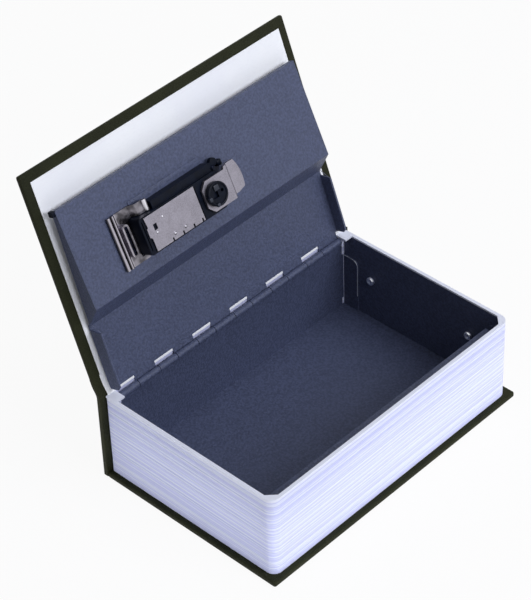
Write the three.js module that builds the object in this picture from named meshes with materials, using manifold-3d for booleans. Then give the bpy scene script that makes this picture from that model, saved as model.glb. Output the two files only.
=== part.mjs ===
// A book-shaped diversion safe: a folded steel cash box inside a hardback's covers, with a ridged
// plastic page block round it and a combination lock in its stepped steel lid.
// Millimetres, +Z up. The origin is the middle of the closed book's footprint, on the table.
// -X is the spine, +X the fore edge, -Y the tail and +Y the head of the book.

import * as THREE from "three";
import { mergeVertices } from "three/addons/utils/BufferGeometryUtils.js";
import Module from "manifold-3d";

const wasm = await Module();
wasm.setup();

// Book case
const BOOK_LENGTH = 180;
const BOOK_WIDTH = 117;
const BOARD = 3;
const OVERHANG = 3;
const CORNER_RADIUS = 1.2;
const PAGE_HEIGHT = 49;
const SPINE_BOARD_TOP = 49.5;
const SPINE_CLOTH = 1;
const ENDPAPER = 0.3;
const PASTE = 0.02;
const TURN_IN = 5.2;
const FRONT_SET_BACK = 0.6;
const JOINT_CLOTH = 0.8;
const JOINT_WIDTH = 8.5;

// Page block
const SHROUD_WALL = 1;
const SHROUD_RETURN_WALL = 0.8;
const SHROUD_RETURN = 12;
const SHROUD_RADIUS = 5;
const SHROUD_BACK_RADIUS = 2;
const RIM_THICKNESS = 1;
const RIM_GUSSET = 4.5;
const PAGE_LINE_PITCH = 2.7;
const PAGE_LINE_DEPTH = 0.3;
const PAGE_LINE_HALF = 0.45;
const PAGE_LINE_WANDER = 0.18;
const PAGE_LINE_WAVES = [1.7, 4.1];
const HOOK_PLATE = 1;
const HOOK_DROP = 5.6;
const HOOK_WIDTH = 2.8;
const HINGE_CAP_REACH = 7;
const STUD_RADIUS = 1.6;
const STUD_HEAD_RADIUS = 2.2;
const STUD_HEAD = 0.9;
const STUD_HEAD_PROFILE = [[1, 0], [0.8, 0.7], [0.4, 1], [0, 1]];
const STUD_HEIGHT = 29;
const STUD_X = [-35, 31.3];
const STUD_Y = [-52, 52];

// Steel sheet, the box and its hinge
const STEEL = 0.8;
const GLUE_GAP = 0.1;
const FIT = 0.3;
const LIP_DROP = 7.9;
const LIP_WIDTH = 8.5;
const LIP_END_GAP = 4;
const LAP_TAB = 10;
const LAP_TAB_RADIUS = 4;
const LAP_TAB_TOP = 37.5;
const CORNER_RELIEF = 2.2;
const PIN_RADIUS = 1;
const PIN_CLEARANCE = 0.1;
const PIN_DROP = 2.8;
const HINGE_PAIRS = 6;
const HINGE_PITCH = 26.7;
const BOX_KNUCKLE = 12;
const KNUCKLE_GAP = 0.35;
const PIN_END_GAP = 0.15;
const KNUCKLE_STEPS = 14;
const BOX_CURL = [180, -80];
const LID_CURL = [90, 372];

// Lid
const LID_SIDE_GAP = 2.85;
const LID_OPEN = 110;
const SHELF_START = 3.3;
const SLOT_TOP = 4.5;
const SHELF_LENGTH = 40.5;
const STEP_RUN = 10.7;
const STEP_DEPTH = 10.6;
const PANEL_RUN = 52.6;
const PANEL_RISE = 5.3;
const EDGE_FLANGE = 3;
const RECESS_WALL_DROP = 0.5;
const SIDE_FLANGE = 7.2;
const SIDE_FLANGE_END = 2.2;
const SIDE_FLANGE_CUT = 2;
const SIDE_FLANGE_SLANT = 1;

// Cover
const COVER_OPEN = 110.3;
const COVER_GAP = 0.3;
const COVER_AXIS_OUT = 1.2;
const COVER_AXIS_DROP = 0.7;

// Lock, in the sloping panel's own plane: up the panel from the step, along the book from the
// panel's middle, and inward from the panel's inner face
const HOUSING_START = 10.3;
const HOUSING_WIDTH = 19.6;
const HOUSING_BEGIN = -46.5;
const HOUSING_END = 11;
const HOUSING_NOSE_RADIUS = 10.9;
const HOUSING_IN = 8.4;
const HOUSING_OUT = 2.6;
const HOUSING_RADIUS = 1.5;
const HOUSING_WALL = 1.2;
const RAIL_BEGIN = -34.6;
const RAIL_END = 5.4;
const RAIL_WIDTH = 3.9;
const RAIL_IN = 6.4;
const FACE_MARGIN = 3.6;
const FACE_THICKNESS = 1.2;
const WHEEL_COUNT = 3;
const WHEEL_PITCH = 7.1;
const WHEEL_WIDTH = 3.4;
const WHEEL_RADIUS = 6.4;
const WHEEL_MIDDLE = -20.8;
const WHEEL_GRIP_RADIUS = 0.75;
const WHEEL_ROOM = 1;
const AXLE_RADIUS = 1.5;
const AXLE_DEPTH = 1.4;
const AXLE_CLEARANCE = 0.05;
const DISC_RADIUS = 3.3;
const DISC_WIDTH = 1.6;
const DISC_NOTCH = 1;
const DIGITS = 10;
const POCKET_MARGIN = 2;
const AXLE_SEAT = 3;
const SPRING_GAUGE = 0.4;
const SPRING_BAR = 2;
const SPRING_FINGER_HALF = 1.2;
const SPINDLE_RADIUS = 3.5;
const SPINDLE_NECK = 2.9;
const KNOB_RADIUS = 7.2;
const KNOB_PLATE = 2.1;
const KNOB_HEIGHT = 5.4;
const KNOB_GRIP = 3.4;
const KNOB_CHAMFER = 0.5;
const CAM_REACH = 20.7;
const CAM_WIDTH = 16.6;
const CAM_TIP = [62, 106];
const CAM_EAR_AT = 9.6;
const CAM_EAR_SLANT = 0.8;
const CAM_TONGUE_SIDE = 6.9;
const CAM_TONGUE_FOOT = 15.6;
const CAM_THICKNESS = 1.5;
const CAM_JOGGLE = 1.9;
const CAM_JOGGLE_AT = 11.6;
const CAM_BACK = 6.8;
const CAM_CHAMFER = 3.5;
const CAM_SHOULDER = 1;
const CAP_RADIUS = 6.3;
const CAP_HEIGHT = 2;
const CAP_SINK = 1.4;
const CAP_SLOT = [-1.6, 1.6, -3.2, 0.2];
const CAP_PIN_AT = [0.6, 3.1];
const CAP_PIN_RADIUS = 0.9;
const CAP_SPLITS = [215, 250, 285];
const CAP_SPLIT_DEPTH = 1.5;
const CAP_SPLIT_WIDTH = 0.7;
const PLATE_THICKNESS = 0.7;
const PLATE_START = 11.1;
const PLATE_WIDTH = 18.2;
const PLATE_BEGIN = -43.8;
const PLATE_LENGTH = 33.6;
const PLATE_EDGE_STEPS = [[0, 0.9], [6.9, 0.9], [7.9, -0.3], [12.3, -0.3], [12.9, 0.5]];
const PLATE_WINDOW_AT = [9.8, 3.8];
const PLATE_WINDOW = [3.2, 2.2];
const PLATE_NOTCHES = [12.5, 19.5, 26.7, 32.6];
const NOTCH_DEPTH = 1.7;
const NOTCH_WIDTH = 0.9;
const DIMPLE_RADIUS = 1.2;
const DIMPLE_HEIGHT = 0.45;
const DIMPLE_AT = [3.1, 1.6];
const DIMPLES = 2;
const BRACKET_THICKNESS = 0.8;
const BRACKET_START = 7.8;
const BRACKET_SPAN = 28.4;
const BRACKET_BEGIN = -58.4;
const BRACKET_BEAD = 1.15;
const BRACKET_BEAD_PITCH = 2.53;
const BRACKET_ARM_START = 4.2;
const BRACKET_ARM_END = -36;
const BRACKET_ARM_RISE = 4.2;
const BRACKET_CURL = [1.6, 1.2];
const LOOP_LENGTH = 17.5;
const LOOP_WIDTH = 3.9;
const LOOP_HEIGHT = 4;
const LOOP_IN = 6.7;
const LOOP_UP = 1.2;
const LEVER_TRAVEL = 1.8;
const LEVER_WIDTH = 2.4;
const LEVER_THICKNESS = 2.4;
const LEVER_LENGTH = 10.5;
const LEVER_INSET = 4.5;
const LEVER_KNOB_RADIUS = 2.2;
const LEVER_KNOB_UP = 0.6;
const LEVER_KNOB_BACK = 1.5;

// Sizes that follow
const rad = THREE.MathUtils.degToRad;
const halfLength = BOOK_LENGTH / 2;
const spineOuter = -BOOK_WIDTH / 2;
const foreOuter = BOOK_WIDTH / 2;
const blockBack = spineOuter + BOARD;
const blockFront = foreOuter - OVERHANG;
const blockSide = halfLength - OVERHANG;
const blockBase = BOARD + GLUE_GAP;
const rimTop = BOARD + PAGE_HEIGHT;
const boxBack = blockBack + SHROUD_RETURN_WALL + GLUE_GAP;
const boxFront = blockFront - SHROUD_WALL - GLUE_GAP;
const boxSide = blockSide - SHROUD_WALL - GLUE_GAP;
const boxTop = rimTop - RIM_THICKNESS - GLUE_GAP;
const innerBack = boxBack + STEEL;
const innerFront = boxFront - STEEL;
const innerSide = boxSide - STEEL;
const floorTop = blockBase + STEEL;
const knuckleBore = PIN_RADIUS + PIN_CLEARANCE;
const knuckleRadius = knuckleBore + STEEL;
const pinX = boxBack + knuckleRadius;
const pinZ = rimTop - PIN_DROP;
const hingeStart = -HINGE_PAIRS * HINGE_PITCH / 2;
const lidSide = innerSide - LID_SIDE_GAP;
const lipTop = rimTop - LIP_DROP;
const hookEnd = -hingeStart + FIT;
const hingeCapEnd = blockBack + HINGE_CAP_REACH;
const lidNotch = Math.hypot(hingeCapEnd - pinX, rimTop - pinZ) + FIT;
const coverTop = rimTop + COVER_GAP + BOARD;
const coverAxisX = spineOuter - COVER_AXIS_OUT;
const coverAxisZ = coverTop - COVER_AXIS_DROP;

// How far a cutting tool runs past what it cuts, where there is room and where there isn't, and how
// deep a face is set in so that it isn't shared
const PAST = 20;
const LAP = 1;
const SKIN = 0.01;

// Materials
function finish(color, roughness, metalness) {
  return new THREE.MeshStandardMaterial({ color, roughness, metalness });
}
const bookCloth = finish(0x24261a, 0.6, 0);
const paper = finish(0xe9e9f4, 0.8, 0);
const pageWhite = finish(0xdcdcf0, 0.45, 0);
const powderCoat = finish(0x474e68, 0.5, 0.2);
const nickel = finish(0x9a9399, 0.3, 0.9);
const blackPlastic = finish(0x0c0f18, 0.35, 0);
const bareSteel = finish(0x8e8f94, 0.4, 0.9);

// Solids
function toSolid(geometry) {
  geometry.deleteAttribute("normal");
  geometry.deleteAttribute("uv");
  const merged = mergeVertices(geometry, 1e-5);
  const vertProperties = new Float32Array(merged.attributes.position.array);
  const corners = [];
  for (let i = 0; i < merged.index.count; i += 3) {
    const [a, b, c] = merged.index.array.slice(i, i + 3);
    if (a !== b && b !== c && c !== a) {
      corners.push(a, b, c);
    }
  }
  const triVerts = new Uint32Array(corners);
  return new wasm.Manifold(new wasm.Mesh({ numProp: 3, vertProperties, triVerts }));
}

function toMesh(name, solid, material) {
  const { vertProperties, triVerts } = solid.getMesh();
  const geometry = new THREE.BufferGeometry();
  geometry.setAttribute("position", new THREE.BufferAttribute(new Float32Array(vertProperties), 3));
  geometry.setIndex(new THREE.BufferAttribute(new Uint32Array(triVerts), 1));
  geometry.computeVertexNormals();
  const mesh = new THREE.Mesh(geometry, material);
  mesh.name = name;
  return mesh;
}

function union(solids) {
  return solids.reduce((whole, piece) => whole.add(piece));
}

function cutAll(solid, tools) {
  return tools.reduce((rest, tool) => rest.subtract(tool), solid);
}

// Shapes in a plane
function outline(points) {
  return new THREE.Shape(points.map(([x, y]) => new THREE.Vector2(x, y)));
}

function roundedRectangle(x0, y0, x1, y1, radius) {
  const shape = new THREE.Shape();
  shape.moveTo(x0 + radius, y0);
  shape.lineTo(x1 - radius, y0);
  shape.absarc(x1 - radius, y0 + radius, radius, -Math.PI / 2, 0);
  shape.lineTo(x1, y1 - radius);
  shape.absarc(x1 - radius, y1 - radius, radius, 0, Math.PI / 2);
  shape.lineTo(x0 + radius, y1);
  shape.absarc(x0 + radius, y1 - radius, radius, Math.PI / 2, Math.PI);
  shape.lineTo(x0, y0 + radius);
  shape.absarc(x0 + radius, y0 + radius, radius, Math.PI, Math.PI * 1.5);
  return shape;
}

function circle(x, y, radius) {
  const shape = new THREE.Shape();
  shape.absarc(x, y, radius, 0, Math.PI * 2);
  return shape;
}

function arc(cx, cy, radius, from, to, steps) {
  const points = [];
  for (let i = 0; i <= steps; i += 1) {
    const angle = from + (to - from) * i / steps;
    points.push([cx + radius * Math.cos(angle), cy + radius * Math.sin(angle)]);
  }
  return points;
}

// A sheet's cross-section: a line of points, and the same line set off to its left by the gauge
function sheetOutline(points, gauge) {
  const normals = [];
  for (let i = 0; i + 1 < points.length; i += 1) {
    const dx = points[i + 1][0] - points[i][0];
    const dy = points[i + 1][1] - points[i][1];
    const length = Math.hypot(dx, dy);
    normals.push([-dy / length, dx / length]);
  }
  const offset = points.map(([x, y], i) => {
    const before = normals[Math.max(i - 1, 0)];
    const after = normals[Math.min(i, normals.length - 1)];
    const share = 1 + before[0] * after[0] + before[1] * after[1];
    const reach = gauge / share;
    return [x + (before[0] + after[0]) * reach, y + (before[1] + after[1]) * reach];
  });
  return outline([...points, ...offset.reverse()]);
}

// Extrusions of a shape along each axis
function extrude(shape, depth, curveSegments) {
  return new THREE.ExtrudeGeometry(shape, { depth, bevelEnabled: false, curveSegments });
}

function alongZ(shape, z0, z1, curveSegments = 6) {
  return toSolid(extrude(shape, z1 - z0, curveSegments).translate(0, 0, z0));
}

function alongY(shape, y0, y1, curveSegments = 6) {
  return toSolid(extrude(shape, y1 - y0, curveSegments).rotateX(Math.PI / 2).translate(0, y1, 0));
}

function alongX(shape, x0, x1, curveSegments = 6) {
  const turn = new THREE.Matrix4().makeBasis(
    new THREE.Vector3(0, 1, 0),
    new THREE.Vector3(0, 0, 1),
    new THREE.Vector3(1, 0, 0),
  );
  return toSolid(extrude(shape, x1 - x0, curveSegments).applyMatrix4(turn).translate(x0, 0, 0));
}

function block(x0, x1, y0, y1, z0, z1) {
  return alongZ(outline([[x0, y0], [x1, y0], [x1, y1], [x0, y1]]), z0, z1);
}

// The same length on the book's -Y or +Y side, in rising order
function onSide(side, near, far) {
  return side < 0 ? [-far, -near] : [near, far];
}

// A turned piece on the Z axis: the profile is radius and height pairs that start and end on the axis
function turned(profile, segments = 24) {
  return toSolid(new THREE.LatheGeometry(profile.map(([r, z]) => new THREE.Vector2(r, z)), segments)
    .rotateX(Math.PI / 2));
}

function cylinderAlongY(x, z, radius, y0, y1, segments = 20) {
  const geometry = new THREE.CylinderGeometry(radius, radius, y1 - y0, segments);
  return toSolid(geometry.translate(x, (y0 + y1) / 2, z));
}

// Book case
function backBoard() {
  const shape = roundedRectangle(blockBack - BOARD, -halfLength, foreOuter, halfLength, CORNER_RADIUS);
  const board = alongZ(shape, 0, BOARD);
  const reach = halfLength + PAST;
  const spineWay = block(spineOuter - PAST, blockBack, -reach, reach, -PAST, PAST);
  return toMesh("back_board", board.subtract(spineWay), bookCloth);
}

function spineBoard() {
  const board = roundedRectangle(spineOuter, 0, blockBack, SPINE_BOARD_TOP, CORNER_RADIUS);
  const clothTop = coverTop - JOINT_CLOTH - ENDPAPER - GLUE_GAP;
  const cloth = outline([
    [spineOuter, SPINE_BOARD_TOP - 2 * CORNER_RADIUS],
    [spineOuter + SPINE_CLOTH, SPINE_BOARD_TOP - 2 * CORNER_RADIUS],
    [spineOuter + SPINE_CLOTH, clothTop],
    [spineOuter, clothTop],
  ]);
  const solid = alongY(board, -halfLength, halfLength).add(alongY(cloth, -halfLength, halfLength));
  const squareFoot = block(blockBack - CORNER_RADIUS, blockBack, -halfLength, halfLength, 0, CORNER_RADIUS);
  return toMesh("spine_board", solid.add(squareFoot), bookCloth);
}

function spineEndpaper() {
  const x = spineOuter + SPINE_CLOTH;
  const z = SPINE_BOARD_TOP;
  const points = [[blockBack, z], [x, z], [x, coverAxisZ - JOINT_CLOTH]].reverse();
  const side = blockSide - ENDPAPER;
  return toMesh("spine_endpaper", alongY(sheetOutline(points, ENDPAPER), -side, side), paper);
}

// Page block: the wall's section carries the page lines and is swept round three sides of the box
function pageLines() {
  const section = [[0, blockBase]];
  const count = Math.floor((rimTop - blockBase) / PAGE_LINE_PITCH) - 1;
  for (let n = 1; n <= count; n += 1) {
    const [slow, quick] = PAGE_LINE_WAVES;
    const wander = PAGE_LINE_WANDER * (Math.sin(n * slow) + Math.sin(n * quick) / 2);
    const z = blockBase + (n + wander) * PAGE_LINE_PITCH;
    section.push([0, z - PAGE_LINE_HALF], [PAGE_LINE_DEPTH, z], [0, z + PAGE_LINE_HALF]);
  }
  section.push([0, rimTop]);
  return section;
}

// Stations round the block, anticlockwise from above: place and outward direction
function shroudPath() {
  const corner = (cx, cy, radius, from) => {
    const stations = [];
    const steps = 6;
    for (let i = 0; i <= steps; i += 1) {
      const angle = from + Math.PI / 2 * i / steps;
      const nx = Math.cos(angle);
      const ny = Math.sin(angle);
      stations.push([cx + radius * nx, cy + radius * ny, nx, ny]);
    }
    return stations;
  };
  const r = SHROUD_RADIUS;
  const b = SHROUD_BACK_RADIUS;
  return [
    [blockBack, -blockSide + SHROUD_RETURN, -1, 0],
    ...corner(blockBack + b, -blockSide + b, b, Math.PI),
    ...corner(blockFront - r, -blockSide + r, r, -Math.PI / 2),
    ...corner(blockFront - r, blockSide - r, r, 0),
    ...corner(blockBack + b, blockSide - b, b, Math.PI / 2),
    [blockBack, blockSide - SHROUD_RETURN, -1, 0],
  ];
}

function sweepWall(section, path, wall) {
  const inner = section.map(([, z]) => [wall, z]).reverse();
  const ring = [...section, ...inner];
  const positions = [];
  for (const [x, y, nx, ny] of path) {
    for (const [depth, z] of ring) {
      positions.push(x - nx * depth, y - ny * depth, z);
    }
  }
  const count = ring.length;
  const index = [];
  for (let s = 0; s + 1 < path.length; s += 1) {
    for (let i = 0; i < count; i += 1) {
      const a = s * count + i;
      const b = s * count + (i + 1) % count;
      index.push(a, a + count, b, b, a + count, b + count);
    }
  }
  const last = (path.length - 1) * count;
  for (let i = 0; i + 1 < section.length; i += 1) {
    const facing = count - 1 - i;
    for (const [a, b, c] of [[i, facing, facing - 1], [i, facing - 1, i + 1]]) {
      index.push(c, b, a, last + a, last + b, last + c);
    }
  }
  const geometry = new THREE.BufferGeometry();
  geometry.setAttribute("position", new THREE.Float32BufferAttribute(positions, 3));
  geometry.setIndex(index);
  return toSolid(geometry);
}

function rim() {
  const shape = outline(shroudPath().slice(1, -1).map(([x, y]) => [x, y]));
  const back = blockBack + SHROUD_RETURN_WALL;
  shape.holes.push(outline([
    [back, -innerSide],
    [back, innerSide],
    [innerFront - RIM_GUSSET, innerSide],
    [innerFront, innerSide - RIM_GUSSET],
    [innerFront, -innerSide + RIM_GUSSET],
    [innerFront - RIM_GUSSET, -innerSide],
  ]));
  return alongZ(shape, rimTop - RIM_THICKNESS, rimTop);
}

// Studs moulded inside the wall, riveted over the steel
function stud(place) {
  const face = GLUE_GAP + STEEL + SHROUD_WALL / 2 + FIT / 2;
  return turned([
    [0, 0],
    [STUD_RADIUS, 0],
    [STUD_RADIUS, face],
    ...STUD_HEAD_PROFILE.map(([out, up]) => [STUD_HEAD_RADIUS * out, face + STUD_HEAD * up]),
  ], 16).transform(place.elements);
}

function studPlaces() {
  const places = [];
  for (const side of [-1, 1]) {
    for (const x of STUD_X) {
      const place = new THREE.Matrix4().makeRotationX(side * Math.PI / 2);
      places.push(place.setPosition(x, side * (blockSide - SHROUD_WALL / 2), STUD_HEIGHT));
    }
  }
  for (const y of STUD_Y) {
    const place = new THREE.Matrix4().makeRotationY(-Math.PI / 2);
    places.push(place.setPosition(blockFront - SHROUD_WALL / 2, y, STUD_HEIGHT));
  }
  return places;
}

// The rim's flat cap over each end of the hinge, with a plate turned down that keeps the pin in
function hingeCap(side) {
  const under = rimTop - RIM_THICKNESS;
  const x0 = pinX - HOOK_WIDTH / 2;
  const x1 = pinX + HOOK_WIDTH / 2;
  return union([
    block(blockBack, hingeCapEnd, ...onSide(side, hookEnd, blockSide - SHROUD_WALL / 2), under, rimTop),
    block(x0, x1, ...onSide(side, hookEnd, hookEnd + HOOK_PLATE), rimTop - HOOK_DROP, rimTop),
  ]);
}

function pageBlock() {
  const wall = sweepWall(pageLines(), shroudPath(), SHROUD_WALL);
  const inside = blockSide - SHROUD_WALL;
  const thin = block(
    blockBack + SHROUD_RETURN_WALL, boxBack + SHROUD_WALL, -inside, inside, BOARD, rimTop + LAP,
  );
  const lidWay = block(
    blockBack - LAP, boxBack, -lidSide - FIT, lidSide + FIT, pinZ - knuckleRadius, rimTop + LAP,
  );
  const open = blockSide - SHROUD_RETURN;
  const backGap = block(blockBack - LAP, boxBack + SHROUD_WALL, -open, open, BOARD, rimTop + LAP);
  const body = cutAll(wall.subtract(thin).add(rim()), [lidWay, backGap]);
  const extras = [hingeCap(-1), hingeCap(1), ...studPlaces().map(stud)];
  return toMesh("page_block", union([body, ...extras]), pageWhite);
}

// Steel box: walls folded up from the floor, lapped at the corners and rolled round the hinge pin
function boxPlan(back, front, side, radius) {
  return outline([
    [back, -side],
    ...arc(front - radius, -side + radius, radius, -Math.PI / 2, 0, 5),
    ...arc(front - radius, side - radius, radius, 0, Math.PI / 2, 5),
    [back, side],
  ]);
}

const boxCorner = SHROUD_RADIUS - SHROUD_WALL;

function boxShell() {
  const outer = boxPlan(boxBack, boxFront, boxSide, boxCorner);
  const inner = boxPlan(innerBack, innerFront, innerSide, boxCorner - STEEL);
  return alongZ(outer, blockBase, boxTop).subtract(alongZ(inner, floorTop, boxTop + LAP));
}

// A tab folded in from the end of the rear or fore wall and lapped over the side wall
function lapTab(root, towards, top, side) {
  const shape = new THREE.Shape();
  const start = root - towards * STEEL / 2;
  const tip = root + towards * LAP_TAB;
  shape.moveTo(start, floorTop);
  shape.lineTo(tip, floorTop);
  shape.lineTo(tip, top - LAP_TAB_RADIUS);
  shape.quadraticCurveTo(tip, top, tip - towards * LAP_TAB_RADIUS, top);
  shape.lineTo(start, top);
  return alongY(shape, ...onSide(side, innerSide - STEEL, innerSide));
}

// The line that a sheet follows round the hinge pin's bore, between two angles in degrees
function curl([from, to]) {
  return arc(0, 0, knuckleBore, rad(from), rad(to), KNUCKLE_STEPS);
}

function boxKnuckleRange(i) {
  const y0 = hingeStart + i * HINGE_PITCH + KNUCKLE_GAP;
  return [y0, y0 + BOX_KNUCKLE];
}

function lidKnuckleRange(i) {
  return [boxKnuckleRange(i)[1] + KNUCKLE_GAP, boxKnuckleRange(i + 1)[0] - KNUCKLE_GAP];
}

function boxKnuckles() {
  const shape = sheetOutline([[-knuckleBore, -2 * knuckleRadius], ...curl(BOX_CURL)], STEEL);
  const pieces = [];
  for (let i = 0; i < HINGE_PAIRS; i += 1) {
    pieces.push(alongY(shape, ...boxKnuckleRange(i)).translate([pinX, 0, pinZ]));
  }
  return pieces;
}

function rearWallCuts() {
  const top = boxTop + LAP;
  const wall = [boxBack - LAP, innerBack + SKIN];
  const cuts = [block(...wall, -innerSide, innerSide, pinZ, top)];
  for (let i = 0; i < HINGE_PAIRS; i += 1) {
    const [y0, y1] = lidKnuckleRange(i);
    cuts.push(block(...wall, y0 - KNUCKLE_GAP, y1 + KNUCKLE_GAP, pinZ - knuckleRadius - 2 * FIT, top));
  }
  for (const side of [-1, 1]) {
    const slit = innerSide - CORNER_RELIEF;
    cuts.push(block(...wall, ...onSide(side, -hingeStart, boxSide + LAP), rimTop - HOOK_DROP - FIT, top));
    cuts.push(block(...wall, ...onSide(side, slit, boxSide + LAP), LAP_TAB_TOP, top));
    cuts.push(block(...wall, ...onSide(side, slit, innerSide), floorTop, floorTop + 2 * CORNER_RELIEF));
  }
  return cuts;
}

function foreLip() {
  const end = innerSide - LIP_END_GAP;
  return block(innerFront - LIP_WIDTH, innerFront + STEEL / 2, -end, end, lipTop - STEEL, lipTop);
}

function studHole(place) {
  const reach = 2 * SHROUD_WALL + STEEL;
  return turned([[0, 0], [STUD_RADIUS + FIT, 0], [STUD_RADIUS + FIT, reach], [0, reach]], 16)
    .transform(place.elements);
}

function steelBox() {
  const shell = cutAll(boxShell(), rearWallCuts());
  const tabs = [-1, 1].flatMap((side) => [
    lapTab(innerBack, 1, LAP_TAB_TOP, side),
    lapTab(innerFront, -1, lipTop, side),
  ]);
  const whole = union([shell, foreLip(), ...tabs, ...boxKnuckles()]);
  const limit = alongZ(boxPlan(boxBack, boxFront, boxSide, boxCorner), 0, coverTop);
  return toMesh("steel_box", cutAll(whole.intersect(limit), studPlaces().map(studHole)), powderCoat);
}

function hingePin() {
  const end = hookEnd - PIN_END_GAP;
  return toMesh("hinge_pin", cylinderAlongY(pinX, pinZ, PIN_RADIUS, -end, end), bareSteel);
}

// Lid, drawn shut: +X runs from the pin to the free edge, and the panel's inner face is below
const shelfZ = knuckleBore;
const stepFoot = [SHELF_LENGTH + STEP_RUN, shelfZ - STEP_DEPTH];
const freeEdge = [stepFoot[0] + PANEL_RUN, stepFoot[1] + PANEL_RISE];
const panelSlope = Math.atan2(PANEL_RISE, PANEL_RUN);

function lidSheet() {
  const flange = [
    freeEdge[0] - EDGE_FLANGE * Math.sin(panelSlope),
    freeEdge[1] + EDGE_FLANGE * Math.cos(panelSlope),
  ];
  const points = [[SHELF_START, shelfZ], [SHELF_LENGTH, shelfZ], stepFoot, freeEdge, flange];
  return alongY(sheetOutline(points, STEEL), -lidSide, lidSide);
}

function lidKnuckles() {
  const shape = sheetOutline([...curl(LID_CURL).reverse(), [SLOT_TOP + LAP, knuckleBore]], STEEL);
  const pieces = [];
  for (let i = 0; i < HINGE_PAIRS; i += 1) {
    pieces.push(alongY(shape, ...lidKnuckleRange(i)));
  }
  return pieces;
}

function recessWall(side) {
  const edge = freeEdge[1] + EDGE_FLANGE;
  const share = RECESS_WALL_DROP / STEP_DEPTH;
  const shape = outline([
    [SHELF_LENGTH + STEP_RUN * share, shelfZ - RECESS_WALL_DROP],
    stepFoot,
    [freeEdge[0] - STEEL, freeEdge[1] + STEEL / 2],
    [freeEdge[0] - STEEL, edge],
  ]);
  return alongY(shape, ...onSide(side, lidSide - STEEL, lidSide));
}

function sideFlange(side) {
  const end = SHELF_LENGTH - SIDE_FLANGE_END;
  const low = shelfZ - SIDE_FLANGE;
  const shape = outline([
    [lidNotch, shelfZ + STEEL / 2],
    [lidNotch, low + SIDE_FLANGE_CUT],
    [lidNotch + SIDE_FLANGE_CUT, low],
    [end - SIDE_FLANGE_SLANT, low],
    [end, shelfZ + STEEL / 2],
  ]);
  return alongY(shape, ...onSide(side, lidSide - STEEL, lidSide));
}

// Openings in the shelf: over each box knuckle, and at both corners for the hinge caps
function shelfSlots() {
  const slots = [-1, 1].map((side) => (
    block(0, lidNotch, ...onSide(side, hookEnd - FIT, lidSide + LAP), shelfZ - LAP, shelfZ + STEEL + LAP)
  ));
  for (let i = 0; i < HINGE_PAIRS; i += 1) {
    const [y0, y1] = boxKnuckleRange(i);
    slots.push(block(0, SLOT_TOP, y0 - KNUCKLE_GAP, y1 + KNUCKLE_GAP, shelfZ - LAP, shelfZ + STEEL + LAP));
  }
  return slots;
}

// Lock parts are drawn with +X up the sloping panel from the step, Y along the book and -Z into the
// box, with Z = 0 on the panel's inner face; this puts a solid drawn so on the lid
function onPanel(solid) {
  const place = new THREE.Matrix4().makeRotationY(-panelSlope);
  place.setPosition(stepFoot[0], 0, stepFoot[1]);
  return solid.transform(place.elements);
}

const housingFar = HOUSING_START + HOUSING_WIDTH;
const housingMid = HOUSING_START + HOUSING_WIDTH / 2;
const housingFace = STEEL + HOUSING_OUT;
const wheelsBegin = WHEEL_MIDDLE - WHEEL_COUNT * WHEEL_PITCH / 2 - WHEEL_ROOM;
const wheelsEnd = WHEEL_MIDDLE + WHEEL_COUNT * WHEEL_PITCH / 2 + WHEEL_ROOM;
const pocketHalf = WHEEL_RADIUS + POCKET_MARGIN;

function housingPlan(margin) {
  return roundedRectangle(
    HOUSING_START - margin, HOUSING_BEGIN - margin, housingFar + margin, HOUSING_END + margin,
    HOUSING_RADIUS + margin,
  );
}

function lidPanel() {
  const sides = [-1, 1].flatMap((side) => [recessWall(side), sideFlange(side)]);
  const sheet = cutAll(union([lidSheet(), ...sides]), shelfSlots());
  const cutout = onPanel(alongZ(housingPlan(FIT), -PAST / 2, PAST / 2));
  return toMesh("lid_panel", union([sheet, ...lidKnuckles()]).subtract(cutout), powderCoat);
}

function wheelY(i) {
  return WHEEL_MIDDLE + (i - (WHEEL_COUNT - 1) / 2) * WHEEL_PITCH;
}

function axleRod(radius, y0, y1) {
  return cylinderAlongY(housingMid, -AXLE_DEPTH, radius, y0, y1);
}

function lockHousing() {
  const body = alongZ(housingPlan(0), -HOUSING_IN, housingFace);
  const rail = block(
    housingFar - LAP, housingFar + RAIL_WIDTH, RAIL_BEGIN, RAIL_END, -RAIL_IN, -FIT / 2,
  );
  const endPocket = block(
    HOUSING_START + POCKET_MARGIN, housingFar - POCKET_MARGIN,
    HOUSING_BEGIN + HOUSING_WALL, PLATE_BEGIN - LAP,
    -PAST, -POCKET_MARGIN,
  );
  const pocket = block(
    housingMid - pocketHalf, housingMid + pocketHalf, wheelsBegin, wheelsEnd,
    -PAST, housingFace - HOUSING_WALL,
  );
  const windows = [];
  for (let i = 0; i < WHEEL_COUNT; i += 1) {
    const half = WHEEL_WIDTH / 2 + FIT;
    windows.push(block(
      housingMid - WHEEL_RADIUS, housingMid + WHEEL_RADIUS, wheelY(i) - half, wheelY(i) + half, 0, PAST,
    ));
  }
  const bore = alongZ(circle(housingMid, 0, SPINDLE_RADIUS + PIN_CLEARANCE), -PAST, PAST, 12);
  const axleHole = axleRod(AXLE_RADIUS + AXLE_CLEARANCE, wheelsBegin - AXLE_SEAT, wheelsEnd + AXLE_SEAT);
  const leverSlot = block(
    leverMid - LEVER_WIDTH / 2 - FIT / 2, leverMid + LEVER_WIDTH / 2 + FIT / 2,
    leverBegin - LEVER_TRAVEL - FIT, RAIL_END + LAP, leverTop - LEVER_THICKNESS - FIT, leverTop + FIT,
  );
  const nose = block(0, 2 * housingMid, 0, PAST, -PAST, -FIT)
    .subtract(alongZ(circle(housingMid, 0, HOUSING_NOSE_RADIUS), -PAST, PAST, 16));
  const cuts = [endPocket, pocket, ...windows, bore, axleHole, leverSlot];
  return toMesh("lock_housing", cutAll(body.subtract(nose).add(rail), cuts), blackPlastic);
}

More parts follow.
